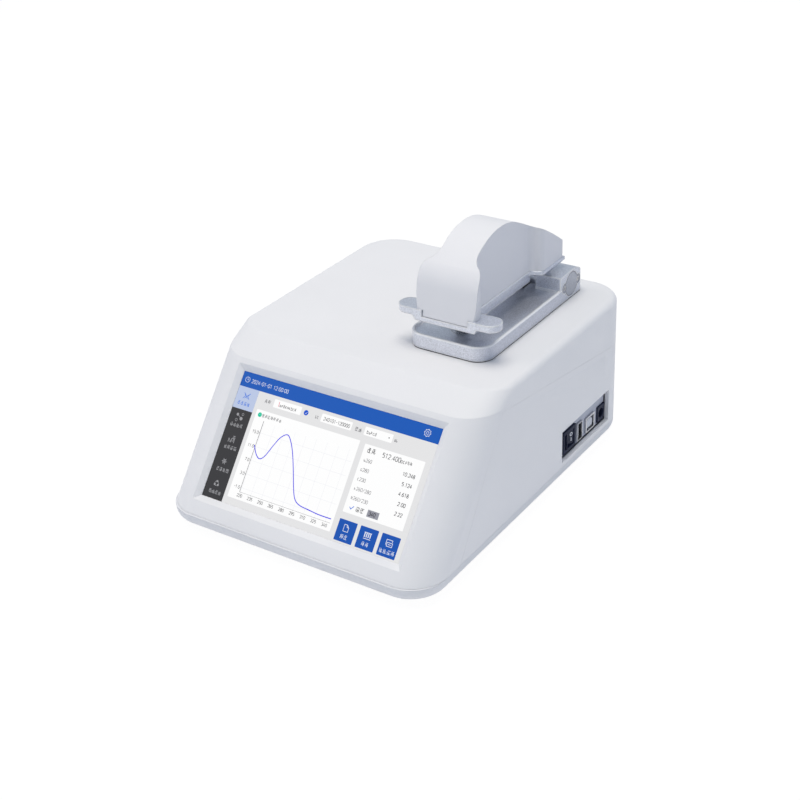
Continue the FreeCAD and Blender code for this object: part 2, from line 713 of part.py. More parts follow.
sub_part("socket_board", fuse(
    "socket_board", block("socket_board_sheet", (72, 61.5, 18.4), (panel_back - 72.4, 44, d.board_thick)),
    block("socket_board_chip", (74, 70, 19.8), (6, 12, 3))))

# ---------------------------------------------------------------- inner deck and optics

deck_sheet = block("deck_sheet", (-85, -52, d.deck_z), (157, 168, d.deck_thick))
deck_notch = block("deck_notch", (62, 30, d.deck_z - 1), (20, 90, 6))
deck_holes = [
    rod(f"deck_hole_{number}", (x, y, d.deck_z - 1), "z", 1.7, 6)
    for number, (x, y) in enumerate(DECK_POSTS, start=1)
]
sub_part("optics_deck", cut("optics_deck", deck_sheet, deck_notch, *deck_holes))
deck_top = d.deck_z + d.deck_thick


def pan_screws(name, places, radius, head_radius, head_height, reach):
    """Identical screws with their heads up; places are where each head rests."""
    pieces = []
    for number, (x, y, z) in enumerate(places, start=1):
        head = rod(f"{name}_head_{number}", (x, y, z), "z", head_radius, head_height)
        stem = rod(f"{name}_stem_{number}", (x, y, length(z) - reach), "z", radius, length(reach) + 0.2)
        socket = rod(f"{name}_socket_{number}", (x, y, length(z) + head_height * 0.4), "z",
                     head_radius * 0.45, head_height)
        pieces.append(cut(f"{name}_{number}", fuse(f"{name}_whole_{number}", head, stem), socket))
    return group(name, *pieces)


sub_part("deck_screws", pan_screws(
    "deck_screws", [(x, y, deck_top) for x, y in DECK_POSTS], 1.25, 2.8, 1.8, 8))

BENCH = (-76, 30, 74, 84)
bench_x, bench_y, bench_wide, bench_long = BENCH
bench_end_x = bench_x + bench_wide
bench_end_y = bench_y + bench_long
bench_tall = 26
BENCH_WALL = 4
bench_floor = deck_top + 3
bench_block = block("bench_block", (bench_x, bench_y, deck_top), (bench_wide, bench_long, bench_tall))
bench_hollow = block("bench_hollow", (bench_x + BENCH_WALL, bench_y + BENCH_WALL, bench_floor),
                     (bench_wide - 2 * BENCH_WALL, bench_long - 2 * BENCH_WALL, 40))
FIBRE_Y = 86
FIBRE_Z = 38
slit_bore = rod("slit_bore", (bench_end_x - 10, FIBRE_Y, FIBRE_Z), "x", 3.02, 20)
sub_part("spectrometer_bench", cut("spectrometer_bench", bench_block, bench_hollow, slit_bore))
sub_part("spectrometer_lid", block("spectrometer_lid", (bench_x, bench_y, deck_top + bench_tall),
                                   (bench_wide, bench_long, 2)))
slit = fuse("slit_whole", rod("slit_barrel", (bench_end_x - 7, FIBRE_Y, FIBRE_Z), "x", 3.0, 13),
            rod("slit_flange", (bench_end_x, FIBRE_Y, FIBRE_Z), "x", 4.6, 2))
slit_hole = rod("slit_hole", (bench_end_x - 8, FIBRE_Y, FIBRE_Z), "x", 1.3, 20)
sub_part("entrance_slit", cut("entrance_slit", slit, slit_hole))


def upright_plate(name, centre, spans, turn):
    """Standing block turned about the vertical, sitting on the spectrometer's floor."""
    plate = block(name, (0, 0, 0), spans)
    for axis in "xyz":
        plate.setExpression(f".Placement.Base.{axis}", None)
    half = Vector(spans[0] / 2, spans[1] / 2, 0)
    rotation = Rotation(Vector(0, 0, 1), turn)
    middle = Vector(centre[0], centre[1], bench_floor.value)
    plate.Placement = Placement(middle - rotation.multVec(half), rotation)
    return plate


sub_part("spectrometer_mirrors", group("spectrometer_mirrors",
                                       upright_plate("first_mirror", (-66, 90), (5, 18, 18), 8),
                                       upright_plate("second_mirror", (-66, 56), (5, 22, 18), -8)))
sub_part("diffraction_grating", upright_plate("diffraction_grating", (-22, 50), (6, 16, 16), 24))
detector_sheet = block("detector_sheet", (bench_x + 46, bench_end_y - 8, deck_top + 4),
                       (20, d.board_thick, 18))
detector_chip = block("detector_chip", (bench_x + 49, bench_end_y - 10.5, deck_top + 9), (14, 2.6, 8))
sub_part("detector_board", fuse("detector_board", detector_sheet, detector_chip))

SOURCE_Z = 36
LAMP = (-80, -32, 36, 50)
lamp_x, lamp_y, lamp_wide, lamp_long = LAMP
lamp_block = block("lamp_block", (lamp_x, lamp_y, deck_top), (lamp_wide, lamp_long, 30))
lamp_nose = rod("lamp_nose", (lamp_x + lamp_wide - 1, d.spot_y, SOURCE_Z), "x", 6, 12)
lamp_bore = rod("lamp_bore", (lamp_x + lamp_wide + 4, d.spot_y, SOURCE_Z), "x", 1.3, 12)
sub_part("xenon_lamp", cut("xenon_lamp", fuse("lamp_whole", lamp_block, lamp_nose), lamp_bore))
driver_x = -38
driver_y = -34
driver_legs = [
    rod(f"lamp_board_leg_{number}", (driver_x + x, driver_y + y, deck_top), "z", 2, 4.2)
    for number, (x, y) in enumerate(((3, 3), (37, 3), (3, 21), (37, 21)), start=1)
]
sub_part("lamp_board", fuse(
    "lamp_board", block("lamp_board_sheet", (driver_x, driver_y, deck_top + 4), (40, 24, d.board_thick)),
    rod("lamp_capacitor", (driver_x + 10, driver_y + 12, deck_top + 5), "z", 5.5, 12),
    block("lamp_transformer", (driver_x + 20, driver_y + 4, deck_top + 5), (14, 14, 10)), *driver_legs))
SPEAKER = (40, -30)
sub_part("speaker", fuse("speaker", rod("speaker_can", (*SPEAKER, deck_top), "z", 10, 4),
                         rod("speaker_cap", (*SPEAKER, deck_top + 3.9), "z", 4, 1)))

# ---------------------------------------------------------------- measuring tray

seal_low = d.top_z
tray_low = d.top_z + d.seal_height
tray_middle = d.arm_x
COLLAR_RADIUS = 7.0
COLLAR_TALL = 0.8


def tray_plan(inset):
    """Plan of the tray, moved inwards by inset."""
    front = d.tray_y + inset
    rear = d.tray_rear - inset
    return rounded_plan(d.tray_half - inset, front, rear, d.tray_corner - inset,
                        d.tray_rear_corner - inset, tray_middle)


CAP_RADIUS = 8.4
LOBE_RADIUS = 3.2
LOBES_Y = (-9.4, 9.4)


def cap_form(name, x, gap, reach):
    """Hinge cap: a disc with a lobe in front and one behind, larger all round by gap."""
    disc = rod(f"{name}_disc", (x, d.hinge_y, d.hinge_z), "x", gap + CAP_RADIUS, reach)
    lobes = [rod(f"{name}_lobe_{number}", (x, d.hinge_y + y, d.hinge_z), "x", gap + LOBE_RADIUS, reach)
             for number, y in enumerate(LOBES_Y, start=1)]
    return fuse(name, disc, *lobes)


tray_form = prism("tray_form", "XY", tray_plan(length(0)), d.tray_top - tray_low, tray_low)
tray_rounded = fillet("tray_rounded", tray_form, 0.5, flat_at("Z", d.tray_top))
tray_dish = prism("tray_dish", "XY", tray_plan(d.tray_rim), 20, d.tray_floor)
ear_side = prism("ear_side", "YZ", [
    (d.ear_y, d.tray_floor - 2), (d.tray_rear, d.tray_floor - 2),
    (d.tray_rear, d.ear_top - d.ear_round, d.ear_round), (d.tray_rear - d.ear_round, d.ear_top),
    (d.ear_y, d.ear_top)], d.tray_half * 2, tray_middle - d.tray_half)
ear_plan = prism("ear_plan", "XY", tray_plan(length(0)), 40, tray_low)
ears = cut("ears", common("ears_whole", ear_side, ear_plan),
           block("ear_gap", (tray_middle - d.ear_gap_half, 70, d.top_z), (d.ear_gap_half * 2, 60, 40)))
bush_bore = rod("bush_bore", (tray_middle - 40, d.hinge_y, d.hinge_z), "x", d.bush_radius + d.push, 80)
knuckle_well = block("knuckle_well", (tray_middle - d.ear_gap_half, 91.9, d.top_z - 5),
                     (d.ear_gap_half * 2, 30, 40))
fibre_slot = block("fibre_slot", (tray_middle - 3.5, 82, d.top_z - 5), (7, 10, 40))
pedestal_bore = rod("pedestal_bore", (tray_middle, d.spot_y, d.top_z - 5), "z", 6.5 + d.push, 20)
collar_sink = rod("collar_sink", (tray_middle, d.spot_y, d.tray_floor - COLLAR_TALL), "z",
                  d.push + COLLAR_RADIUS, 10)
tray_holes = [
    rod(f"tray_hole_{number}", (tray_middle + x, y, tray_low - 1), "z", 1.55,
        d.tray_screw_top - tray_low + 1.5)
    for number, (x, y) in enumerate(TRAY_SCREWS, start=1)
]
cap_holes = [
    rod(f"cap_hole_{tag}_{number}", (tray_middle + x, d.hinge_y + y, d.hinge_z), "x", 1.1, 8)
    for tag, x in (("right", d.tray_half - 7), ("left", -d.tray_half - 1))
    for number, y in enumerate(LOBES_Y, start=1)
]
cap_pockets = [
    cap_form("cap_pocket_right", tray_middle + d.tray_half - d.cap_depth, d.cap_gap, 5),
    cap_form("cap_pocket_left", tray_middle - d.tray_half + d.cap_depth - 5, d.cap_gap, 5),
]
tray_pan = cut("tray_pan", tray_rounded, tray_dish)
sub_part("measuring_tray", cut("measuring_tray", fuse("tray_and_ears", tray_pan, ears),
                               knuckle_well, fibre_slot, bush_bore, pedestal_bore, collar_sink, *tray_holes,
                               *cap_holes, *cap_pockets))
sub_part("tray_seal", cut(
    "tray_seal", prism("tray_seal_sheet", "XY", tray_plan(length(0.25)), d.seal_height, seal_low),
    prism("tray_seal_window", "XY", tray_plan(length(3)), 20, seal_low - 5)))
TRAY_HEAD = (2.8, 1.8)
tray_screw_low = d.top_z - d.wall - TRAY_HEAD[1]
sub_part("tray_screws", screws(
    "tray_screws", [(tray_middle + x, y, tray_screw_low) for x, y in TRAY_SCREWS], TRAY_HEAD,
    (1.5, d.tray_screw_top - d.top_z + d.wall)))

# ---------------------------------------------------------------- hinge

bush_reach = 14.0
BUSH_STARTS = (d.ear_gap_half, -d.ear_gap_half - bush_reach)
bushes = []
for number, start in enumerate(BUSH_STARTS, start=1):
    sleeve = rod(f"bush_sleeve_{number}", (tray_middle + start, d.hinge_y, d.hinge_z), "x",
                 d.bush_radius, bush_reach)
    bore = rod(f"bush_hole_{number}", (tray_middle + start - 1, d.hinge_y, d.hinge_z), "x",
               d.axle_radius + d.running, bush_reach + 2)
    bushes.append(cut(f"bush_{number}", sleeve, bore))
sub_part("hinge_bushes", group("hinge_bushes", *bushes))
axle_half = d.tray_half - 4
sub_part("hinge_axle", rod("hinge_axle", (tray_middle - axle_half, d.hinge_y, d.hinge_z), "x",
                           d.axle_radius, axle_half * 2))
washers = []
washer_thick = d.ear_gap_half - d.knuckle_half - 0.1
for number, start in enumerate((d.knuckle_half + 0.05, -(d.ear_gap_half - 0.05)), start=1):
    disc = rod(f"washer_disc_{number}", (tray_middle + start, d.hinge_y, d.hinge_z), "x", 7, washer_thick)
    hole = rod(f"washer_hole_{number}", (tray_middle + start - 1, d.hinge_y, d.hinge_z), "x",
               d.axle_radius + d.running, 3)
    washers.append(cut(f"washer_{number}", disc, hole))
sub_part("friction_washers", group("friction_washers", *washers))

SCREW_HEAD = 0.8
caps = []
cap_screws = []
for tag, x, stem_shift, socket_shift in (
        ("right", tray_middle + d.tray_half - d.cap_depth, -5, 0.5),
        ("left", tray_middle - d.tray_half + d.cap_depth - d.cap_thick, 0.5, -0.7)):
    screw_holes = [rod(f"cap_screw_hole_{tag}_{number}", (x - 1, d.hinge_y + y, d.hinge_z), "x", 1.9, 4)
                   for number, y in enumerate(LOBES_Y, start=1)]
    caps.append(cut(f"cap_{tag}", cap_form(f"cap_whole_{tag}", x, length(0), d.cap_thick), *screw_holes))
    head_x = x + (d.cap_thick - SCREW_HEAD) / 2
    for number, y in enumerate(LOBES_Y, start=1):
        name = f"cap_screw_{tag}_{number}"
        at_y = d.hinge_y + y
        head = rod(f"{name}_head", (head_x, at_y, d.hinge_z), "x", 1.8, SCREW_HEAD)
        stem = rod(f"{name}_stem", (x + stem_shift, at_y, d.hinge_z), "x", 1.0, 5.5)
        socket = rod(f"{name}_socket", (head_x + socket_shift, at_y, d.hinge_z), "x", 0.8, 1.0)
        cap_screws.append(cut(name, fuse(f"{name}_whole", head, stem), socket))
sub_part("hinge_caps", group("hinge_caps", *caps))
sub_part("hinge_cap_screws", group("hinge_cap_screws", *cap_screws))

# ---------------------------------------------------------------- arm frame

head_section = [
    (tray_middle - d.wing_half, d.wing_low), (tray_middle - d.head_half - 3.1, d.wing_low, -3.1),
    (tray_middle - d.head_half, d.frame_low), (tray_middle + d.head_half, d.frame_low, -3.1),
    (tray_middle + d.head_half + 3.1, d.wing_low), (tray_middle + d.wing_half, d.wing_low),
    (tray_middle + d.wing_half, d.frame_top), (tray_middle - d.wing_half, d.frame_top),
]
wing_deep = d.wing_rear - d.frame_front
head_block = prism("head_block", "XZ", head_section, wing_deep, -d.wing_rear)
doc.recompute()


def at_wing_tip(edge):
    """Edge test: an upright edge at the outer end of a wing."""
    outer = abs(edge.CenterOfMass.x - tray_middle.value) > d.wing_half.value - 0.01
    return outer and along("Z")(edge)


head_rounded = fillet("head_rounded", head_block, 7, at_wing_tip)


def beam_plan(narrow, wide, start, end):
    """Dog-bone plan: a beam that flares at its rear to the plate's width."""
    middle_y = (start + end) / 2
    bow = ((end - start) * (end - start) + (wide - narrow) * (wide - narrow)) / (4 * (wide - narrow))
    return [
        (tray_middle - narrow, -2), (tray_middle + narrow, -2), (tray_middle + narrow, start, -bow),
        (tray_middle + (narrow + wide) / 2, middle_y, bow), (tray_middle + wide, end),
        (tray_middle + wide, d.frame_rear), (tray_middle - wide, d.frame_rear),
        (tray_middle - wide, end, bow), (tray_middle - (narrow + wide) / 2, middle_y, -bow),
        (tray_middle - narrow, start),
    ]


plate_sheet = prism("plate_sheet", "XY", beam_plan(d.beam_half, d.head_half, d.plate_start, d.plate_full),
                    d.frame_top - d.plate_low, d.plate_low)
doc.recompute()


def at_rear_lip(edge):
    """Edge test: a level edge of the plate's rear end."""
    return edge.CenterOfMass.y > d.plate_full.value and not along("Z")(edge)


plate = fillet("plate", plate_sheet, 1.1, at_rear_lip)
beam = prism("beam", "XY", [
    (tray_middle - d.beam_half, -2), (tray_middle + d.beam_half, -2),
    (tray_middle + d.beam_half, 71, 4), (tray_middle + d.beam_half - 4, 75),
    (tray_middle - d.beam_half + 4, 75, 4), (tray_middle - d.beam_half, 71)],
    d.frame_top - d.frame_low, d.frame_low)
knuckle = rod("knuckle", (tray_middle - d.knuckle_half, d.hinge_y, d.hinge_z), "x",
              d.knuckle_radius, d.knuckle_half * 2)
web = block("web", (tray_middle - d.knuckle_half, d.hinge_y - 5, d.hinge_z),
            (d.knuckle_half * 2, 10, d.plate_low - d.hinge_z + 1))
tip_boss = rod("tip_boss", (tray_middle, d.spot_y, d.frame_low - 4), "z", 8, 6)
axle_bore = rod("axle_bore", (tray_middle - 20, d.hinge_y, d.hinge_z), "x", d.axle_radius + d.push, 40)
notch = block("notch", (tray_middle - d.notch_half, d.frame_front - 5, d.wing_low + 0.1),
              (d.notch_half * 2, d.notch_deep + 5, 20))
tip_bore = rod("tip_bore", (tray_middle, d.spot_y, d.frame_low - 10), "z", 5.0 + d.push, 40)
fibre_exit = block("fibre_exit", (tray_middle - 3, 82, d.plate_low - 10), (6, 8, 30))
COVER_SCREWS = ((-17, 92), (17, 92), (0, 22), (0, 60))
cover_holes = []
for number, (x, y) in enumerate(COVER_SCREWS, start=1):
    cover_holes.append(rod(f"cover_hole_{number}", (tray_middle + x, y, d.frame_low - 5), "z", 1.3, 30))
    cover_holes.append(rod(f"cover_sink_{number}", (tray_middle + x, y, d.frame_low - 8), "z", 2.4,
                           d.frame_top - d.frame_low + 6))
frame_whole = fuse("frame_whole", head_rounded, plate, beam, knuckle, web, tip_boss)
sub_part("arm_frame", cut("arm_frame", frame_whole, axle_bore, notch, tip_bore, fibre_exit, *cover_holes))

# ---------------------------------------------------------------- arm cover

# side view of the cover: y, z, the outward direction there and the radius of the arc that leaves it
COVER_REAR = 102.9
COVER_CROWN = (
    (55.7, 176.3, 0.423, 0.906, 48.0),
    (10.0, 173.5, -0.530, 0.848, 96.0),
    (-2.0, 165.3, -0.650, 0.760, 24.5),
    (-9.6, 150.5, -0.985, 0.172, None),
)
COVER_SHOULDER = (147.9, 287.0)
COVER_FOOT_Y = -12.1
COVER_LEAN = 0.172


def cover_side(inset):
    """Side outline of the arm cover, moved inwards by inset."""
    rear = COVER_REAR - inset
    outline = [
        (COVER_FOOT_Y + inset, d.frame_top - inset), (rear, d.frame_top - inset),
        (rear, COVER_SHOULDER[0] - inset * 0.5, COVER_SHOULDER[1] - inset),
    ]
    for y, z, out_y, out_z, radius in COVER_CROWN:
        corner = (y - inset * out_y, z - inset * out_z)
        outline.append(corner + (radius - inset,) if radius else corner)
    return outline


def cover_plan(inset):
    """Plan of the arm cover: a wide head, a narrow waist and a wide rear."""
    head = d.head_half - inset
    waist = 13.4 - inset
    rear = 21.6 - inset
    middle_front = (head + waist) / 2
    middle_rear = (rear + waist) / 2
    corner = 2.5 - inset
    plan_front = COVER_FOOT_Y + inset
    front_y = -8.0
    waist_y = 8.0
    flare_y = 69.5
    rear_y = 79.0
    front_bow = ((waist_y - front_y) ** 2 + (head - waist) * (head - waist)) / (4 * (head - waist))
    rear_bow = ((rear_y - flare_y) ** 2 + (rear - waist) * (rear - waist)) / (4 * (rear - waist))
    return [
        (tray_middle - head + corner, plan_front), (tray_middle + head - corner, plan_front, corner),
        (tray_middle + head, plan_front + corner), (tray_middle + head, front_y, front_bow),
        (tray_middle + middle_front, (front_y + waist_y) / 2, -front_bow), (tray_middle + waist, waist_y),
        (tray_middle + waist, flare_y, -rear_bow),
        (tray_middle + middle_rear, (flare_y + rear_y) / 2, rear_bow), (tray_middle + rear, rear_y),
        (tray_middle + rear, 110), (tray_middle - rear, 110), (tray_middle - rear, rear_y, rear_bow),
        (tray_middle - middle_rear, (flare_y + rear_y) / 2, -rear_bow), (tray_middle - waist, flare_y),
        (tray_middle - waist, waist_y, -front_bow),
        (tray_middle - middle_front, (front_y + waist_y) / 2, front_bow), (tray_middle - head, front_y),
        (tray_middle - head, plan_front + corner, corner),
    ]


def cover_form(name, inset):
    """Solid form of the arm cover: what its side view and its plan share."""
    side = prism(name + "_side", "YZ", cover_side(inset), 60, tray_middle - 30)
    plan = prism(name + "_plan", "XY", cover_plan(length(inset)), 70, d.frame_top - inset)
    return common(name, side, plan)


cover_block = cover_form("cover_block", 0)
cover_hollow = cover_form("cover_hollow", d.cover_wall.value)
tab_low = d.wing_low + 0.4
tab_top = d.frame_top + 1
cover_tab = prism("cover_tab", "YZ", [
    (COVER_FOOT_Y - COVER_LEAN * (d.frame_top - tab_low), tab_low), (COVER_FOOT_Y + 3, tab_low),
    (COVER_FOOT_Y + 3, tab_top), (COVER_FOOT_Y + COVER_LEAN, tab_top)],
    d.notch_half * 2 - 0.6, tray_middle - d.notch_half + 0.3)
COVER_POST_TALL = 9
cover_posts = []
cover_post_holes = []
for number, (x, y) in enumerate(COVER_SCREWS, start=1):
    post_x = tray_middle + x
    cover_posts.append(rod(f"cover_post_{number}", (post_x, y, d.frame_top), "z", 3, COVER_POST_TALL))
    cover_post_holes.append(rod(f"cover_post_hole_{number}", (post_x, y, d.frame_top - 1), "z", 1.3, 8))
cover_ribs = [
    block(f"cover_rib_{number}", (tray_middle - 12.4, y - 1, d.frame_top), (24.8, 2, COVER_POST_TALL))
    for number, (x, y) in enumerate(COVER_SCREWS[2:], start=1)
]
cover_shell = cut("cover_shell", cover_block, cover_hollow)
cover_whole = fuse("arm_cover_whole", cover_shell, cover_tab, *cover_posts, *cover_ribs)
sub_part("arm_cover", cut("arm_cover", cover_whole, *cover_post_holes))
cover_screw_places = [(tray_middle + x, y, d.frame_top - 3.6) for x, y in COVER_SCREWS]
sub_part("arm_cover_screws", screws("arm_cover_screws", cover_screw_places, (2.2, 1.6), (1.25, 8)))

# ---------------------------------------------------------------- measuring point and its drive

bush = fuse("pedestal_sleeve", rod("sleeve_tube", (tray_middle, d.spot_y, d.top_z - 3.5), "z", 6.5, 9),
            rod("sleeve_collar", (tray_middle, d.spot_y, d.tray_floor - COLLAR_TALL), "z",
                COLLAR_RADIUS, COLLAR_TALL),
            rod("sleeve_middle", (tray_middle, d.spot_y, d.top_z), "z", 6.5, d.tray_floor - d.top_z))
sub_part("pedestal_bush", cut("pedestal_bush", bush, rod(
    "pedestal_guide", (tray_middle, d.spot_y, d.top_z - 10), "z", d.pedestal_radius + d.running, 30)))

NUT_Z = 80.0
NUT_TALL = 8.0
SCREW_RADIUS = 1.5
PIN_X = 9.0
PLATE_Z = 60.0
pedestal_body = rod("pedestal_body", (tray_middle, d.spot_y, NUT_Z + NUT_TALL), "z", d.pedestal_radius,
                    d.pedestal_top - NUT_Z - NUT_TALL)
pedestal_rim = fillet("pedestal_rim", pedestal_body, 0.4, flat_at("Z", d.pedestal_top))
screw_room = rod("screw_room", (tray_middle, d.spot_y, NUT_Z), "z", 2.2, 24)
TIP_RADIUS = 0.6
TIP_REACH = 6.6
lower_tip_bore = rod("lower_tip_bore", (tray_middle, d.spot_y, d.pedestal_top - TIP_REACH - 0.5), "z",
                     TIP_RADIUS + d.push, 20)
sub_part("lower_pedestal", cut("lower_pedestal", pedestal_rim, screw_room, lower_tip_bore))
sub_part("lower_fibre_tip", rod("lower_fibre_tip", (tray_middle, d.spot_y, d.pedestal_top - TIP_REACH), "z",
                                TIP_RADIUS, TIP_REACH))
SOURCE_X = 30.0
running_hole = SCREW_RADIUS + d.running
nut_block = fuse(
    "nut_block", block("nut_body", (tray_middle - 12.5, d.spot_y - 6, NUT_Z), (25, 12, NUT_TALL)),
    block("nut_ear", (SOURCE_X - 3, d.spot_y - 4, NUT_Z), (8, 8, NUT_TALL)))
nut_holes = [
    rod(f"nut_hole_{number}", (tray_middle + x, d.spot_y, NUT_Z - 1), "z", running_hole, NUT_TALL + 2)
    for number, x in enumerate((0, -PIN_X, PIN_X), start=1)
]
nut_holes.append(rod("nut_fibre_hole", (SOURCE_X, d.spot_y, NUT_Z - 1), "z", 1.4, 10))
sub_part("drive_nut", cut("drive_nut", nut_block, *nut_holes))
sub_part("lead_screw", rod("lead_screw", (tray_middle, d.spot_y, PLATE_Z - 12), "z", SCREW_RADIUS, 52))
PLATE_THICK = 3
BRACKET_Z = 102
sub_part("guide_pins", group("guide_pins", *[
    rod(f"guide_pin_{number}", (tray_middle + x, d.spot_y, PLATE_Z + PLATE_THICK), "z", SCREW_RADIUS,
        BRACKET_Z - PLATE_Z - PLATE_THICK)
    for number, x in enumerate((-PIN_X, PIN_X), start=1)]))
bracket_left = tray_middle - 21
bracket_whole = fuse(
    "bracket_whole", block("bracket_top", (bracket_left, d.spot_y - 17, BRACKET_Z), (42, 34, PLATE_THICK)),
    block("bracket_back", (bracket_left, d.spot_y + 14, PLATE_Z), (42, PLATE_THICK, 44)),
    block("bracket_low", (bracket_left, d.spot_y - 11, PLATE_Z), (42, 27, PLATE_THICK)))
bracket_cuts = [
    rod("bracket_bush_hole", (tray_middle, d.spot_y, BRACKET_Z - 2), "z", 7, 8),
    rod("bracket_screw_hole", (tray_middle, d.spot_y, PLATE_Z - 1), "z", 4, 6),
    rod("bracket_fibre_hole", (SOURCE_X, d.spot_y, PLATE_Z - 1), "z", 1.8, 6),
]
drive_screw_places = [(tray_middle + x, d.spot_y + y, BRACKET_Z - 1.8) for x, y in DRIVE_SCREWS]
for number, (x, y, z) in enumerate(drive_screw_places, start=1):
    bracket_cuts.append(rod(f"bracket_fixing_{number}", (x, y, z), "z", 1.6, 8))
sub_part("drive_bracket", cut("drive_bracket", bracket_whole, *bracket_cuts))
sub_part("drive_screws", screws("drive_screws", drive_screw_places, (2.6, 1.8), (1.5, 4.8)))
MOTOR_SIDE = 20
MOTOR_TALL = 28
motor_corner = (tray_middle - MOTOR_SIDE / 2, d.spot_y - MOTOR_SIDE / 2, PLATE_Z - MOTOR_TALL)
motor_case = block("motor_case", motor_corner, (MOTOR_SIDE, MOTOR_SIDE, MOTOR_TALL))
doc.recompute()
motor_rounded = fillet("motor_rounded", motor_case, 2, along("Z"))
motor_pilot = rod("motor_pilot", (tray_middle, d.spot_y, PLATE_Z - 0.5), "z", 3.8, 2)
motor_bore = rod("motor_bore", (tray_middle, d.spot_y, PLATE_Z - 13), "z", running_hole, 20)
sub_part("stepper_motor", cut("stepper_motor", fuse("motor_whole", motor_rounded, motor_pilot), motor_bore))

upper_tip_z = d.pedestal_top + d.light_gap
upper_body = fuse(
    "upper_body", rod("upper_tip", (tray_middle, d.spot_y, upper_tip_z), "z", d.pedestal_radius, 6),
    rod("upper_shank", (tray_middle, d.spot_y, d.frame_low - 3.5), "z", 5, 13))
upper_cuts = [rod("upper_tip_bore", (tray_middle, d.spot_y, upper_tip_z - 1), "z", TIP_RADIUS + d.push, 7),
              rod("upper_fibre_bore", (tray_middle, d.spot_y, upper_tip_z + 6), "z", 1.3, 20)]
sub_part("upper_pedestal", cut("upper_pedestal", upper_body, *upper_cuts))
sub_part("upper_fibre_tip", rod("upper_fibre_tip", (tray_middle, d.spot_y, upper_tip_z), "z",
                                TIP_RADIUS, 5.5))

FIBRE_RADIUS = 1.2
BEND = 16
sub_part("source_fibre", tube_run("source_fibre", "XZ", -d.spot_y, [
    (-36, SOURCE_Z), (SOURCE_X - BEND, SOURCE_Z, BEND), (SOURCE_X, SOURCE_Z + BEND),
    (SOURCE_X, NUT_Z + NUT_TALL - 1)], FIBRE_RADIUS))
arm_x = d.arm_x.value
sub_part("detector_fibre", tube_run("detector_fibre", "XZ", -FIBRE_Y, [
    (arm_x, 121), (arm_x, FIBRE_Z + BEND, -BEND), (arm_x - BEND, FIBRE_Z), (-5, FIBRE_Z)], FIBRE_RADIUS))
sub_part("arm_fibre", tube_run("arm_fibre", "YZ", d.arm_x, [
    (d.spot_y, 127), (d.spot_y, 141, -10), (d.spot_y + 10, 151), (FIBRE_Y - 10, 151, -10), (FIBRE_Y, 141),
    (FIBRE_Y, 125)], FIBRE_RADIUS))

# ---------------------------------------------------------------- checks and writing


def check_document():
    """Stop if any object failed to build or any piece is not made of sound solids."""
    doc.recompute()
    for item in doc.Objects:
        if "Invalid" in item.State or "Error" in item.State:
            raise RuntimeError(f"{item.Name} did not build: {item.State}")
    labels = [piece.Label for piece in SUB_PARTS]
    if len(set(labels)) != len(labels):
        raise RuntimeError("two pieces share a name")
    for piece in SUB_PARTS:
        shape = piece.Shape
        if shape.isNull() or not shape.isValid() or not shape.Solids:
            raise RuntimeError(f"{piece.Label} is not a valid solid")


def write_parts():
    """One STEP file for each piece."""
    os.makedirs("parts", exist_ok=True)
    for piece in SUB_PARTS:
        piece.Shape.exportStep(os.path.join("parts", piece.Label + ".step"))
    print(f"{len(SUB_PARTS)} pieces written")


check_document()
write_parts()
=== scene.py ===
"""Studio scene of the benchtop spectrophotometer: surfaces, the lit screen, light and camera."""
import json
import math
import random

import bpy
from mathutils import Matrix, Vector


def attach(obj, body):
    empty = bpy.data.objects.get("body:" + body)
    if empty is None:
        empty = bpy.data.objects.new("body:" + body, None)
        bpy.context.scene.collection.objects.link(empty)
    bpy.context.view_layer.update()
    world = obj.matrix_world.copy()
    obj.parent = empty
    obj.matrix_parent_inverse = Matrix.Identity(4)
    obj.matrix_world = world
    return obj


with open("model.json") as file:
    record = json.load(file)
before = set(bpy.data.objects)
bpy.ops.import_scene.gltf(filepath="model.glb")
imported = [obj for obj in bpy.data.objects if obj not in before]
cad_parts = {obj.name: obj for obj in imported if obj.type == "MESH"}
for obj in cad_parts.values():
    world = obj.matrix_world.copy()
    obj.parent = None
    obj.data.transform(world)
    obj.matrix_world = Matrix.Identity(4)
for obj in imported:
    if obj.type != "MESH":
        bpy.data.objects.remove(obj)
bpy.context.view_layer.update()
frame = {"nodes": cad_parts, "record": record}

chance = random.Random(7)
MM = 0.001


def tint(red, green, blue):
    """Scene colour from three 0-255 display values."""
    parts = []
    for value in (red, green, blue):
        share = value / 255
        parts.append(share / 12.92 if share <= 0.04045 else ((share + 0.055) / 1.055) ** 2.4)
    return (*parts, 1.0)


def shaded(colour, share, lift=0.0):
    """The colour scaled by share and raised by lift."""
    return (*(min(1.0, part * share + lift) for part in colour[:3]), 1.0)


def make_piece(name, vertices, faces, material, place=None):
    """A mesh object in the scene; place moves its vertices."""
    mesh = bpy.data.meshes.new(name)
    mesh.from_pydata(vertices, [], faces)
    if place is not None:
        mesh.transform(place)
    mesh.update()
    mesh.materials.append(material)
    piece = bpy.data.objects.new(name, mesh)
    bpy.context.scene.collection.objects.link(piece)
    return piece


# ---------------------------------------------------------------- surfaces

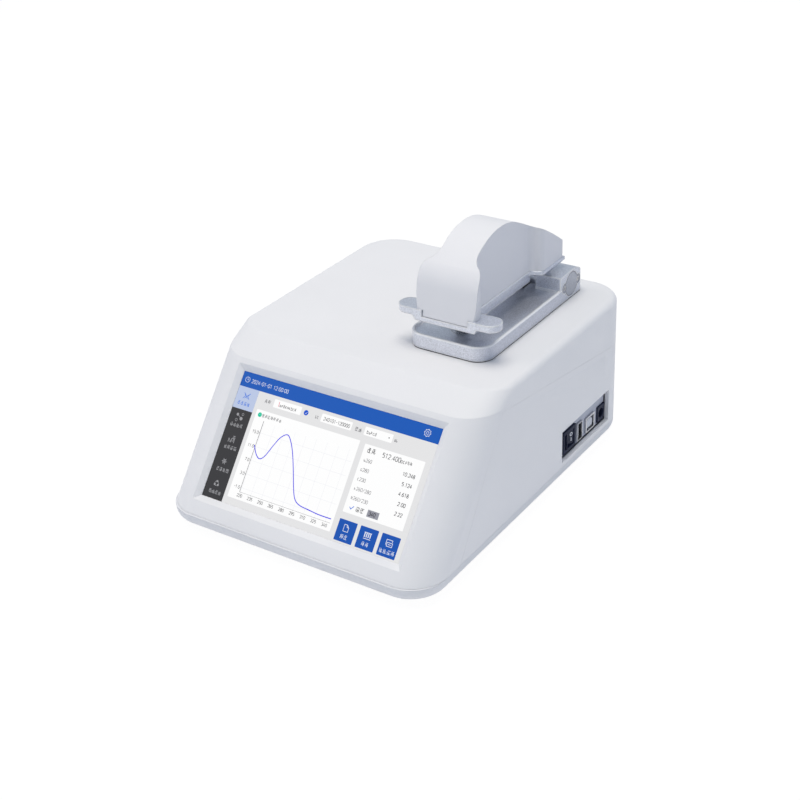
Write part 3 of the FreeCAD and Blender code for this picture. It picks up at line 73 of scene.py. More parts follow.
class Surface:
    """A material being put together from nodes."""

    def __init__(self, name):
        self.material = bpy.data.materials.new(name)
        self.material.use_nodes = True
        self.tree = self.material.node_tree
        self.tree.nodes.clear()
        self.output = self.tree.nodes.new("ShaderNodeOutputMaterial")
        self.shader = self.tree.nodes.new("ShaderNodeBsdfPrincipled")
        self.join(self.shader.outputs["BSDF"], self.output.inputs["Surface"])
        self.place = self.tree.nodes.new("ShaderNodeTexCoord").outputs["Object"]
        geometry = self.tree.nodes.new("ShaderNodeNewGeometry")
        self.facing = geometry.outputs["Normal"]
        self.position = geometry.outputs["Position"]

    def join(self, source, target):
        self.tree.links.new(source, target)

    def fill(self, target, value):
        """Give an input a number, a colour or another node's output."""
        if isinstance(value, bpy.types.NodeSocket):
            self.join(value, target)
        else:
            target.default_value = value

    def set(self, **values):
        """Fill inputs of the main shader; Base_Color stands for Base Color."""
        for name, value in values.items():
            self.fill(self.shader.inputs[name.replace("_", " ")], value)
        return self

    def stretch(self, scale):
        """Object coordinates scaled differently along each axis."""
        node = self.tree.nodes.new("ShaderNodeMapping")
        self.join(self.place, node.inputs["Vector"])
        node.inputs["Scale"].default_value = scale
        return node.outputs["Vector"]

    def noise(self, scale, detail=2.0, along=None):
        node = self.tree.nodes.new("ShaderNodeTexNoise")
        self.join(self.stretch(along) if along else self.place, node.inputs["Vector"])
        node.inputs["Scale"].default_value = scale
        node.inputs["Detail"].default_value = detail
        return node.outputs["Fac"]

    def cells(self, scale, output="Color"):
        node = self.tree.nodes.new("ShaderNodeTexVoronoi")
        self.join(self.place, node.inputs["Vector"])
        node.inputs["Scale"].default_value = scale
        return node.outputs[output]

    def range(self, value, low, high, from_low=0.0, from_high=1.0):
        """The value carried from one span to another, from low to high."""
        node = self.tree.nodes.new("ShaderNodeMapRange")
        self.fill(node.inputs["Value"], value)
        limits = {"From Min": from_low, "From Max": from_high, "To Min": low, "To Max": high}
        for name, number in limits.items():
            node.inputs[name].default_value = number
        return node.outputs["Result"]

    def mix(self, factor, first, second):
        """A blend of two colours."""
        node = self.tree.nodes.new("ShaderNodeMix")
        node.data_type = "RGBA"
        self.fill(node.inputs["Factor"], factor)
        for socket in node.inputs:
            if socket.type == "RGBA":
                self.fill(socket, first if socket.name == "A" else second)
        return next(socket for socket in node.outputs if socket.type == "RGBA")

    def math(self, kind, first, second):
        node = self.tree.nodes.new("ShaderNodeMath")
        node.operation = kind
        self.fill(node.inputs[0], first)
        self.fill(node.inputs[1], second)
        return node.outputs["Value"]

    def vector(self, kind, first, second=None):
        """Vector sum; a dot product gives a number, all the others give a vector."""
        node = self.tree.nodes.new("ShaderNodeVectorMath")
        node.operation = kind
        self.fill(node.inputs[0], first)
        if second is not None:
            self.fill(node.inputs["Scale"] if kind == "SCALE" else node.inputs[1], second)
        return node.outputs["Value" if kind == "DOT_PRODUCT" else "Vector"]

    def part_of(self, vector, axis):
        """One of the three numbers of a vector."""
        parts = self.tree.nodes.new("ShaderNodeSeparateXYZ")
        self.join(vector, parts.inputs["Vector"])
        return parts.outputs[axis]

    def rounded_edges(self, radius):
        """Normals that make sharp edges catch the light as small roundings do."""
        node = self.tree.nodes.new("ShaderNodeBevel")
        node.samples = 6
        node.inputs["Radius"].default_value = radius
        return node.outputs["Normal"]

    def painted_side_shade(self, colour, share):
        """Painted shade: the colour made deeper and cooler where the surface is turned to the right, by
        share there.
        """
        side_shaded = self.vector("MULTIPLY", colour, (share ** 1.1, share, share ** 0.75))
        return self.mix(self.range(self.part_of(self.facing, "X"), 0.0, 1.0, 0.25, 0.95), colour, side_shaded)

    def height_share(self, low, high):
        """1 between two heights above the table and 0 elsewhere, with soft ends."""
        height = self.part_of(self.position, "Z")
        over = self.range(height, 0.0, 1.0, low - 0.3 * MM, low + 0.3 * MM)
        under = self.range(height, 1.0, 0.0, high - 0.1 * MM, high + 0.3 * MM)
        return self.math("MULTIPLY", over, under)

    def edge_share(self, rounded):
        """How near the surface is to an edge: 0 on open faces, 1 along the edge itself."""
        return self.range(self.vector("DOT_PRODUCT", rounded, self.facing), 1.0, 0.0, 0.90, 0.99)

    def bump(self, height, depth, strength=1.0, normal=None):
        """Normals of a surface raised by height times depth, in metres."""
        node = self.tree.nodes.new("ShaderNodeBump")
        node.inputs["Strength"].default_value = strength
        node.inputs["Distance"].default_value = depth
        self.join(height, node.inputs["Height"])
        if normal is not None:
            self.join(normal, node.inputs["Normal"])
        return node.outputs["Normal"]


def moulded(name, colour, rough=0.5, grain=0.00002, edge=0.0008, gloss=0.35, shade=1.0):
    """Moulded plastic: fine grain, faint mottling, softened edges and painted shade, scaled by shade, on
    faces turned to the right.
    """
    surface = Surface(name)
    tone = surface.range(surface.noise(14, 3), 0.0, 1.0, 0.3, 0.7)
    dull = shaded(colour, 0.975)
    fine = surface.noise(2600, 3)
    normal = surface.bump(fine, grain, 0.5, surface.rounded_edges(edge))
    return surface.set(
        Base_Color=surface.painted_side_shade(surface.mix(tone, dull, colour), shade),
        Normal=normal, Specular_IOR_Level=gloss,
        Roughness=surface.range(surface.noise(60, 4), rough - 0.05, rough + 0.05, 0.3, 0.7)).material


def sparkled(name, colour, rough=0.34, sparkle=0.17, edge=0.0020, metal=0.68, shade=0.72, coat=1.0,
             painted_edge_colour=(0.94, 0.945, 0.96, 1), polished=None):
    """Silver lacquer: flakes that each lean and shine their own way, under a clear coat.

    Along edges the colour becomes a painted edge colour with less metal: a painted highlight where it is
    light, a painted shadow where it is dark. A given span of heights gets the same painted highlight, and
    faces turned to the right get painted shade.
    """
    surface = Surface(name)
    rounded = surface.rounded_edges(edge)
    flakes = surface.cells(1900)
    lean = surface.vector("SCALE", surface.vector("SUBTRACT", flakes, (0.5, 0.5, 0.5)), sparkle)
    normal = surface.vector("NORMALIZE", surface.vector("ADD", rounded, lean))
    tone = surface.range(surface.cells(2400), 0.0, 1.0, 0.22, 0.78)
    paint = surface.painted_side_shade(surface.mix(tone, shaded(colour, 0.82), shaded(colour, 1.08)), shade)
    # mask of the painted edge colour, with less metal there so that the painted highlight shows white
    painted_edge_share = surface.edge_share(rounded)
    if polished:
        painted_edge_share = surface.math("MAXIMUM", painted_edge_share, surface.height_share(*polished))
    return surface.set(
        Base_Color=surface.mix(painted_edge_share, paint, painted_edge_colour), Metallic=surface.range(painted_edge_share, metal, 0.1), Normal=normal,
        Coat_Weight=coat, Coat_IOR=2.0, Coat_Roughness=0.16, Coat_Normal=rounded,
        Roughness=surface.range(surface.noise(900, 2), rough - 0.06, rough + 0.06, 0.3, 0.7)).material


def machined(name, colour, rough=0.28, along=(1, 1, 40)):
    """Turned, ground or rolled metal with fine lines across one direction."""
    surface = Surface(name)
    lines = surface.noise(160, 4, along)
    tone = surface.range(surface.noise(50, 2), 0.0, 1.0, 0.3, 0.7)
    return surface.set(
        Base_Color=surface.mix(tone, shaded(colour, 0.88), colour), Metallic=1.0,
        Normal=surface.bump(lines, 0.00003, 0.35, surface.rounded_edges(0.0003)),
        Roughness=surface.range(lines, rough - 0.07, rough + 0.09, 0.3, 0.7)).material


def elastic(name, colour, rough=0.75):
    """Rubber or foam: matt, with an uneven skin."""
    surface = Surface(name)
    skin = surface.noise(700, 5)
    return surface.set(
        Base_Color=surface.mix(surface.range(skin, 0, 1, 0.35, 0.7), colour, shaded(colour, 1.5, 0.004)),
        Normal=surface.bump(skin, 0.00008, 0.5, surface.rounded_edges(0.0006)),
        Roughness=surface.range(surface.noise(90, 2), rough - 0.07, rough + 0.07, 0.3, 0.7)).material


def circuit(name, colour):
    """Solder mask over copper tracks, with bare pads."""
    surface = Surface(name)
    tracks = surface.tree.nodes.new("ShaderNodeTexBrick")
    surface.join(surface.place, tracks.inputs["Vector"])
    tracks.inputs["Scale"].default_value = 240
    tracks.inputs["Mortar Size"].default_value = 0.05
    for part, level in (("Color1", 0.0), ("Color2", 0.15), ("Mortar", 1.0)):
        tracks.inputs[part].default_value = (level, level, level, 1)
    pads = surface.range(surface.cells(330, "Distance"), 1.0, 0.0, 0.10, 0.14)
    masked = surface.mix(tracks.outputs["Color"], colour, shaded(colour, 1.7, 0.02))
    height = surface.math("ADD", tracks.outputs["Fac"], pads)
    return surface.set(
        Base_Color=surface.mix(pads, masked, (0.62, 0.50, 0.24, 1)), Metallic=pads,
        Normal=surface.bump(height, 0.00004, 0.6, surface.rounded_edges(0.0003)),
        Roughness=surface.range(surface.noise(300, 2), 0.25, 0.45)).material


def clear(name, colour, rough):
    """Glass with faint unevenness and a breath of dust."""
    surface = Surface(name)
    dust = surface.range(surface.noise(900, 4), 0.0, 1.0, 0.62, 0.75)
    return surface.set(
        Base_Color=surface.mix(dust, colour, (0.8, 0.8, 0.8, 1)),
        Transmission_Weight=surface.range(dust, 0.9, 0.6),
        Normal=surface.bump(surface.noise(40, 2), 0.00002, 0.3, surface.rounded_edges(0.0003)),
        Roughness=surface.range(dust, rough, rough + 0.25)).material


def ruled(name, colour):
    """Diffraction grating: a mirror ruled so finely that it throws colours."""
    surface = Surface(name)
    wave = surface.tree.nodes.new("ShaderNodeTexWave")
    surface.join(surface.place, wave.inputs["Vector"])
    wave.inputs["Scale"].default_value = 120
    ramp = surface.tree.nodes.new("ShaderNodeValToRGB")
    surface.join(wave.outputs["Fac"], ramp.inputs["Fac"])
    stops = ramp.color_ramp.elements
    stops[0].color = (0.30, 0.25, 0.80, 1)
    stops[1].color = (0.85, 0.45, 0.30, 1)
    stops.new(0.5).color = (0.35, 0.80, 0.45, 1)
    return surface.set(
        Base_Color=surface.mix(0.5, colour, ramp.outputs["Color"]), Metallic=0.9,
        Normal=surface.bump(surface.noise(3000, 1, (60, 1, 1)), 0.00001, 0.4), Roughness=0.12).material


WHITE = tint(236, 236, 239)
SILVER = (0.735, 0.76, 0.835, 1)
FINISHES = {
    "case_white": moulded("case_white", WHITE, 0.52, edge=0.0003),
    "base_grey": moulded("base_grey", tint(226, 227, 232), 0.55, edge=0.0005),
    # painted shade on the arm cover's faces turned to the right
    "cover_white": moulded("cover_white", tint(234, 234, 238), 0.48, edge=0.0006, shade=0.88),
    "foot_rubber": elastic("foot_rubber", (0.030, 0.030, 0.032, 1)),
    "screw_steel": machined("screw_steel", (0.56, 0.56, 0.58, 1), 0.30),
    "seal_foam": elastic("seal_foam", (0.045, 0.047, 0.055, 1), 0.85),
    "screen_glass": clear("screen_glass", (0.10, 0.11, 0.13, 1), 0.04),
    "display_black": moulded("display_black", (0.012, 0.012, 0.014, 1), 0.20, 0.000005),
    "sheet_steel": machined("sheet_steel", (0.60, 0.61, 0.62, 1), 0.34, (40, 1, 1)),
    "spacer_brass": machined("spacer_brass", (0.70, 0.50, 0.22, 1), 0.26),
    "board_green": circuit("board_green", (0.010, 0.085, 0.035, 1)),
    "cell_steel": machined("cell_steel", (0.72, 0.72, 0.73, 1), 0.16, (1, 30, 1)),
    "ribbon_amber": moulded("ribbon_amber", (0.42, 0.13, 0.015, 1), 0.30, 0.00001),
    "socket_panel_grey": moulded("socket_panel_grey", tint(182, 186, 200), 0.45, edge=0.0004),
    "switch_black": moulded("switch_black", (0.017, 0.023, 0.052, 1), 0.50, edge=0.0006, gloss=0.12),
    "rocker_black": moulded("rocker_black", (0.014, 0.019, 0.046, 1), 0.34, 0.00001, 0.0006, 0.18),
    "socket_metal": machined("socket_metal", (0.70, 0.70, 0.71, 1), 0.22, (30, 1, 1)),
    "jack_black": moulded("jack_black", (0.017, 0.023, 0.052, 1), 0.46, edge=0.0006, gloss=0.14),
    "deck_aluminium": machined("deck_aluminium", (0.64, 0.65, 0.67, 1), 0.36, (1, 40, 1)),
    # painted shade on faces turned to the right and a faint painted highlight along the edges
    "bench_black": sparkled("bench_black", (0.030, 0.030, 0.034, 1), 0.42, 0.08, coat=0.0,
                            painted_edge_colour=(0.06, 0.06, 0.066, 1)),
    "mirror_face": machined("mirror_face", (0.92, 0.92, 0.93, 1), 0.08, (4, 4, 4)),
    "grating_glass": ruled("grating_glass", (0.55, 0.55, 0.72, 1)),
    "lamp_case": moulded("lamp_case", (0.020, 0.020, 0.023, 1), 0.45, 0.00004),
    "speaker_black": elastic("speaker_black", (0.022, 0.022, 0.022, 1), 0.6),
    # the silver parts get painted shade on faces turned to the right and a painted highlight along their
    # edges; the tray also along its rim's top, at the given heights
    "tray_silver": sparkled("tray_silver", SILVER, polished=(0.1177, 0.1185)),
    "frame_silver": sparkled("frame_silver", SILVER),
    # painted shadow along the hinge cap's edges, as dark lines round it, and painted shade on faces turned
    # to the right
    "cap_silver": sparkled("cap_silver", (0.36, 0.39, 0.46, 1), 0.34, 0.10, 0.0008,
                           painted_edge_colour=(0.05, 0.055, 0.085, 1)),
    "axle_steel": machined("axle_steel", (0.56, 0.56, 0.57, 1), 0.24, (40, 1, 1)),
    "bush_bronze": machined("bush_bronze", (0.60, 0.40, 0.20, 1), 0.32),
    "washer_nylon": moulded("washer_nylon", (0.72, 0.70, 0.64, 1), 0.5),
    # darker than the other steel: painted shade, for the shade under the arm front
    "pedestal_steel": machined("pedestal_steel", (0.34, 0.35, 0.38, 1), 0.30),
    "bush_steel": machined("bush_steel", (0.60, 0.60, 0.62, 1), 0.26, (8, 8, 40)),
    "motor_grey": machined("motor_grey", (0.20, 0.20, 0.21, 1), 0.36),
    "fibre_core": clear("fibre_core", (0.95, 0.96, 0.98, 1), 0.02),
    "fibre_jacket": moulded("fibre_jacket", (0.10, 0.105, 0.13, 1), 0.42, 0.00004),
}
slot_of = {entry["node"]: entry["material_slot"] for entry in frame["record"]["subparts"]}
for node, item in frame["nodes"].items():
    plain = item.data.materials[0]
    item.data.materials.clear()
    if plain.users == 0:
        bpy.data.materials.remove(plain)
    item.data.materials.append(FINISHES[slot_of[node]])

# ---------------------------------------------------------------- screen picture

# places on the picture are shares across and down it; lengths are in mm
PICTURE_WIDE = 154.2
PICTURE_TALL = 85.9
PANEL_CENTRE = Vector((0, -96.305, 58.5))
PANEL_LEAN = math.radians(39.35)
PANEL_RISE = Vector((0, math.sin(PANEL_LEAN), math.cos(PANEL_LEAN)))
PANEL_OUT = Vector((0, -math.cos(PANEL_LEAN), math.sin(PANEL_LEAN)))


def on_picture(across, down, depth):
    """Point in the frame for a place on the picture and its depth below the panel."""
    return (PANEL_CENTRE + Vector(((across - 0.5) * PICTURE_WIDE, 0, 0))
            + PANEL_RISE * (0.5 - down) * PICTURE_TALL - PANEL_OUT * depth) * MM


def around(across, down, radius, angle):
    """Place at a radius from another one, at an angle that turns clockwise from the right."""
    return (across + radius / PICTURE_WIDE * math.cos(angle), down + radius / PICTURE_TALL * math.sin(angle))


def lit(name, colour):
    """One colour of the lit picture, broken up by the display's fine grid of dots."""
    surface = Surface(name)
    grid = surface.tree.nodes.new("ShaderNodeTexChecker")
    surface.join(surface.stretch((5200, 5200, 5200)), grid.inputs["Vector"])
    grid.inputs["Color1"].default_value = colour
    grid.inputs["Color2"].default_value = shaded(colour, 0.96)
    return surface.set(
        Base_Color=(0.005, 0.005, 0.006, 1), Emission_Color=grid.outputs["Color"],
        Emission_Strength=1.0, Specular_IOR_Level=0.12,
        Roughness=surface.range(surface.noise(400, 2), 0.18, 0.28)).material


# strokes of each sign on a unit square that stands on the base line
DIGITS = {
    "0": [[(0.2, 0), (0.8, 0), (1, 0.2), (1, 0.8), (0.8, 1), (0.2, 1), (0, 0.8), (0, 0.2), (0.2, 0)]],
    "1": [[(0.15, 0.78), (0.55, 1), (0.55, 0)]],
    "2": [[(0, 0.82), (0.2, 1), (0.8, 1), (1, 0.82), (1, 0.62), (0, 0), (1, 0)]],
    "3": [[(0, 0.9), (0.2, 1), (0.8, 1), (1, 0.85), (1, 0.65), (0.8, 0.52), (0.4, 0.52)],
          [(0.8, 0.52), (1, 0.38), (1, 0.15), (0.8, 0), (0.2, 0), (0, 0.1)]],
    "4": [[(0.75, 0), (0.75, 1), (0, 0.28), (1, 0.28)]],
    "5": [[(0.95, 1), (0.1, 1), (0.05, 0.56), (0.75, 0.6), (1, 0.42), (1, 0.18), (0.8, 0), (0.1, 0)]],
    "6": [[(0.9, 1), (0.35, 0.95), (0, 0.5), (0, 0.18), (0.2, 0), (0.8, 0), (1, 0.18), (1, 0.38),
           (0.8, 0.54), (0.1, 0.5)]],
    "7": [[(0, 1), (1, 1), (0.4, 0)]],
    "8": [[(0.5, 0.52), (0.1, 0.65), (0.1, 0.85), (0.3, 1), (0.7, 1), (0.9, 0.85), (0.9, 0.65), (0.5, 0.52),
           (0, 0.35), (0, 0.15), (0.2, 0), (0.8, 0), (1, 0.15), (1, 0.35), (0.5, 0.52)]],
    "9": [[(0.1, 0), (0.65, 0.05), (1, 0.5), (1, 0.82), (0.8, 1), (0.2, 1), (0, 0.82), (0, 0.62),
           (0.2, 0.46), (0.9, 0.5)]],
    ".": [[(0.3, 0), (0.3, 0.09)]],
    ":": [[(0.3, 0.15), (0.3, 0.27)], [(0.3, 0.65), (0.3, 0.77)]],
    "-": [[(0.1, 0.48), (0.8, 0.48)]],
    "/": [[(0.1, 0), (0.8, 1)]],
    " ": [],
}
# signs narrower than a digit, as shares of its width
NARROW = {".": 0.32, ":": 0.36, "-": 0.75, " ": 0.45}


class Layer:
    """Flat shapes that share one colour and one depth below the panel."""

    def __init__(self, name, colour, depth):
        self.name = name
        self.colour = colour
        self.depth = depth
        self.vertices = []
        self.faces = []

    def shape(self, points):
        """One flat face from places in order."""
        start = len(self.vertices)
        self.vertices += [on_picture(across, down, self.depth) for across, down in points]
        self.faces.append(tuple(range(start + len(points) - 1, start - 1, -1)))

    def box(self, left, top, right, bottom, corner=0.0):
        """Rectangle, with rounded corners if corner is their radius."""
        if not corner:
            self.shape([(left, top), (right, top), (right, bottom), (left, bottom)])
            return
        wide = corner / PICTURE_WIDE
        tall = corner / PICTURE_TALL
        middles = ((right - wide, top + tall, 270), (right - wide, bottom - tall, 0),
                   (left + wide, bottom - tall, 90), (left + wide, top + tall, 180))
        self.shape([around(across, down, corner, math.radians(start + step * 22.5))
                    for across, down, start in middles for step in range(5)])

    def disc(self, across, down, radius):
        """A filled circle of 24 short sides."""
        self.shape([around(across, down, radius, step * math.tau / 24) for step in range(24)])

    def line(self, points, width, closed=False):
        """Line through places, with mitred bends."""
        flat = [(x * PICTURE_WIDE, y * PICTURE_TALL) for x, y in points]
        count = len(flat)
        sides = []
        for number, (x, y) in enumerate(flat):
            before = flat[number - 1] if number or closed else None
            after = flat[(number + 1) % count] if number < count - 1 or closed else None
            ways = []
            for start, end in ((before, (x, y)), ((x, y), after)):
                if start is not None and end is not None:
                    reach = math.hypot(end[0] - start[0], end[1] - start[1]) or 1.0
                    ways.append(((end[0] - start[0]) / reach, (end[1] - start[1]) / reach))
            way_x = sum(way[0] for way in ways)
            way_y = sum(way[1] for way in ways)
            size = math.hypot(way_x, way_y) or 1.0
            lean = max(0.5, size / len(ways))
            across_x = -way_y / size * width / 2 / lean
            across_y = way_x / size * width / 2 / lean
            sides.append(((x + across_x, y + across_y), (x - across_x, y - across_y)))
        pairs = list(zip(sides, sides[1:]))
        if closed:
            pairs.append((sides[-1], sides[0]))
        for (left, right), (next_left, next_right) in pairs:
            self.shape([(x / PICTURE_WIDE, y / PICTURE_TALL)
                        for x, y in (left, next_left, next_right, right)])

    def ring(self, across, down, radius, width):
        """An open circle of 28 short sides."""
        self.line([around(across, down, radius, step * math.tau / 28) for step in range(28)],
                  width, closed=True)

    def sketch(self, across, down, size, strokes, width):
        """Strokes on a square stretched to size, a (wide, tall) pair, with its lower left corner here."""
        wide, tall = size
        for stroke in strokes:
            self.line([(across + x * wide / PICTURE_WIDE, down - y * tall / PICTURE_TALL)
                       for x, y in stroke], width)

    def number(self, text, across, down, tall, width, end=False):
        """Digits standing on a base line; end puts their right end at this place."""
        wide = tall * 0.54
        gap = tall * 0.22
        reach = sum(wide * NARROW.get(sign, 1.0) + gap for sign in text) - gap
        at = across * PICTURE_WIDE - (reach if end else 0)
        for sign in text:
            self.sketch(at / PICTURE_WIDE, down, (wide, tall), DIGITS[sign], width)
            at += wide * NARROW.get(sign, 1.0) + gap

    def word(self, signs, across, down, tall, width, dense=False):
        """Marks that only look like writing: made-up signs of a few strokes each."""
        wide = tall * (0.9 if dense else 0.52)
        at = across * PICTURE_WIDE
        for _ in range(signs):
            strokes = [[(0.08, chance.choice((0.0, 0.1))), (0.08, chance.choice((0.7, 1.0)))]]
            levels = (0.05, 0.35, 0.65, 0.95) if dense else (0.02, 0.35, 0.68)
            for level in chance.sample(levels, 3 if dense else 2):
                strokes.append([(chance.uniform(0, 0.2), level), (chance.uniform(0.75, 1.0), level)])
            if chance.random() < 0.6:
                lean = chance.uniform(0.55, 0.95)
                strokes.append([(lean, 0.0), (lean, chance.choice((0.4, 0.68, 1.0)))])
            if dense:
                strokes.append([(0.5, 0.0), (0.5, 1.0)])
            self.sketch(at / PICTURE_WIDE, down, (wide, tall), strokes, width)
            at += wide + tall * 0.2

    def build(self):
        """Make the layer a piece of the display."""
        piece = make_piece(self.name, self.vertices, self.faces, lit(self.name, self.colour))
        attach(piece, "case")


page = Layer("picture_page", tint(230, 230, 231), 3.28)
header = Layer("picture_header", tint(26, 90, 184), 3.26)
sidebar = Layer("picture_sidebar", tint(58, 58, 60), 3.26)
tab = Layer("picture_tab", tint(188, 201, 230), 3.24)
cards = Layer("picture_cards", tint(255, 255, 255), 3.24)
buttons = Layer("picture_buttons", tint(24, 84, 178), 3.24)
grid_lines = Layer("picture_grid", tint(232, 233, 240), 3.22)
axes = Layer("picture_axes", tint(96, 96, 102), 3.20)
curve = Layer("picture_curve", tint(66, 58, 232), 3.18)
dark_text = Layer("picture_dark_text", tint(44, 44, 50), 3.18)
grey_text = Layer("picture_grey_text", tint(92, 92, 98), 3.18)
light_text = Layer("picture_light_text", tint(226, 232, 246), 3.18)
side_text = Layer("picture_side_text", tint(158, 158, 162), 3.18)
blue_text = Layer("picture_blue_text", tint(70, 122, 222), 3.18)
green_mark = Layer("picture_green_mark", tint(24, 200, 160), 3.18)
red_mark = Layer("picture_red_mark", tint(226, 40, 90), 3.16)
blue_dot = Layer("picture_blue_dot", tint(20, 84, 206), 3.18)
grey_box = Layer("picture_grey_box", tint(152, 153, 163), 3.20)
edge_line = Layer("picture_edge", tint(60, 62, 74), 3.14)
layers = [page, header, sidebar, tab, cards, buttons, grid_lines, axes, curve, dark_text, grey_text,
          light_text, side_text, blue_text, green_mark, red_mark, blue_dot, grey_box, edge_line]

# page, header with clock, date and gear
page.box(-0.001, -0.001, 1.001, 1.001)
header.box(-0.001, -0.001, 1.001, 0.116)
light_text.ring(0.029, 0.058, 1.75, 0.28)
light_text.line([(0.029, 0.044), (0.029, 0.059), (0.0355, 0.059)], 0.26)
light_text.number("2024-01-01 12:00:00", 0.053, 0.074, 2.3, 0.28)
GEAR = (0.938, 0.058)
light_text.line([around(*GEAR, 2.35 if step % 4 in (0, 1) else 1.85, step * math.pi / 16)
                 for step in range(32)], 0.30, closed=True)
light_text.ring(*GEAR, 0.85, 0.28)

# sidebar with its active tab and four items
sidebar.box(-0.001, 0.116, 0.106, 1.001)
tab.box(-0.001, 0.116, 0.106, 0.289)
TAB_STARTS = (0.116, 0.289, 0.466, 0.643, 0.820)
for number, top in enumerate(TAB_STARTS):
    ink = blue_text if number == 0 else side_text
    middle = 0.052
    icon = top + 0.062
    if number == 0:
        for side in (-1, 1):
            ink.sketch(middle - 0.016, icon + 0.028, (4.9, 4.4), [
                [(0.5 - side * 0.5, 0.95), (0.5 - side * 0.18, 0.5), (0.5 - side * 0.5, 0.05)],
                [(0.5 - side * 0.30, 0.75), (0.5 + side * 0.22, 0.12)]], 0.42)
    elif number == 1:
        ink.disc(middle - 0.013, icon - 0.018, 0.95)
        ink.disc(middle + 0.010, icon + 0.008, 1.15)
        ink.ring(middle + 0.013, icon - 0.026, 0.75, 0.28)
        ink.ring(middle - 0.012, icon + 0.026, 0.85, 0.28)
        ink.line([(middle - 0.013, icon - 0.018), (middle + 0.010, icon + 0.008)], 0.3)
    elif number == 2:
        ink.sketch(middle - 0.016, icon + 0.026, (4.6, 4.4), [
            [(0, 0), (0, 0.55), (0.35, 0.2), (0.35, 0)], [(0.5, 0), (0.5, 0.6), (0.8, 0.8), (0.8, 0.2)],
            [(0.62, 1.0), (0.98, 1.0)], [(0.98, 0.0), (0.98, 0.85)]], 0.45)
    elif number == 3:
        for step in range(6):
            ink.line([(middle, icon), around(middle, icon, 2.1, step * math.pi / 3)], 0.32)
        ink.ring(middle, icon, 1.2, 0.3)
    else:
        for turn in (-90, -210, -330):
            ink.disc(*around(middle, icon, 1.5, math.radians(turn)), 0.75)
        ink.ring(middle, icon, 1.6, 0.26)
    ink.word(4, 0.018 if number in (0, 1) else 0.026, top + 0.140, 2.35, 0.28, dense=True)

# row of fields
for left, right in ((0.196, 0.338), (0.442, 0.595), (0.659, 0.795)):
    cards.box(left, 0.140, right, 0.203, 0.5)
grey_text.word(2, 0.150, 0.190, 2.3, 0.26, dense=True)
red_mark.line([(0.2225, 0.151), (0.2225, 0.190)], 0.34)
dark_text.word(9, 0.228, 0.188, 2.1, 0.26)
blue_dot.disc(0.364, 0.172, 1.75)
light_text.line([(0.358, 0.172), (0.363, 0.181), (0.371, 0.163)], 0.3)
grey_text.word(2, 0.414, 0.190, 2.0, 0.26)
dark_text.number("240101-120000", 0.456, 0.187, 2.1, 0.28)
grey_text.word(2, 0.615, 0.192, 2.5, 0.26, dense=True)
dark_text.word(5, 0.672, 0.188, 2.1, 0.28)
dark_text.shape([(0.7745, 0.168), (0.7825, 0.168), (0.7785, 0.178)])
grey_text.word(2, 0.806, 0.186, 1.7, 0.24)

# plot card
cards.box(0.125, 0.250, 0.655, 0.945, 0.4)
green_mark.disc(0.147, 0.287, 1.55)
light_text.line([(0.147, 0.279), (0.147, 0.288), (0.151, 0.288)], 0.24)
grey_text.word(7, 0.160, 0.300, 2.1, 0.24, dense=True)
AXIS_LEFT, AXIS_RIGHT, AXIS_TOP, AXIS_LOW = 0.177, 0.645, 0.325, 0.886
axes.line([(AXIS_LEFT, AXIS_TOP), (AXIS_LEFT, AXIS_LOW)], 0.34)
axes.line([(AXIS_LEFT, AXIS_LOW), (AXIS_RIGHT, AXIS_LOW)], 0.16)
for number, label in enumerate(("15.0", "11.0", "7.0", "3.0", "-1.0")):
    level = 0.418 + number * 0.1085
    axes.line([(AXIS_LEFT - 0.005, level), (AXIS_LEFT, level)], 0.18)
    grid_lines.line([(AXIS_LEFT, level), (AXIS_RIGHT, level)], 0.16)
    dark_text.number(label, AXIS_LEFT - 0.0075, level + 0.012, 1.9, 0.26, end=True)
for number in range(9):
    at = 0.182 + number * 0.0548
    axes.line([(at, AXIS_LOW), (at, AXIS_LOW + 0.006)], 0.16)
    grid_lines.line([(at, AXIS_TOP + 0.01), (at, AXIS_LOW)], 0.16)
    dark_text.number(str(220 + number * 15), at + 0.013, 0.923, 1.9, 0.27, end=True)
CURVE = (
    (0.171, 0.517), (0.193, 0.576), (0.217, 0.604), (0.239, 0.572), (0.263, 0.476), (0.284, 0.405),
    (0.313, 0.370), (0.340, 0.414), (0.368, 0.498), (0.399, 0.620), (0.426, 0.733), (0.449, 0.805),
    (0.479, 0.836), (0.526, 0.846), (0.582, 0.855), (0.643, 0.855),
)


def smooth(points):
    """More points on a soft curve through the given ones."""
    steps = 6
    ends = [points[0], *points, points[-1]]
    out = []
    for a, b, c, e in zip(ends, ends[1:], ends[2:], ends[3:]):
        for step in range(steps):
            t = step / steps
            out.append(tuple(
                0.5 * (2 * b[i] + (c[i] - a[i]) * t + (2 * a[i] - 5 * b[i] + 4 * c[i] - e[i]) * t * t
                       + (3 * b[i] - a[i] - 3 * c[i] + e[i]) * t ** 3) for i in (0, 1)))
    return out + [points[-1]]


curve.line(smooth(CURVE), 0.62)

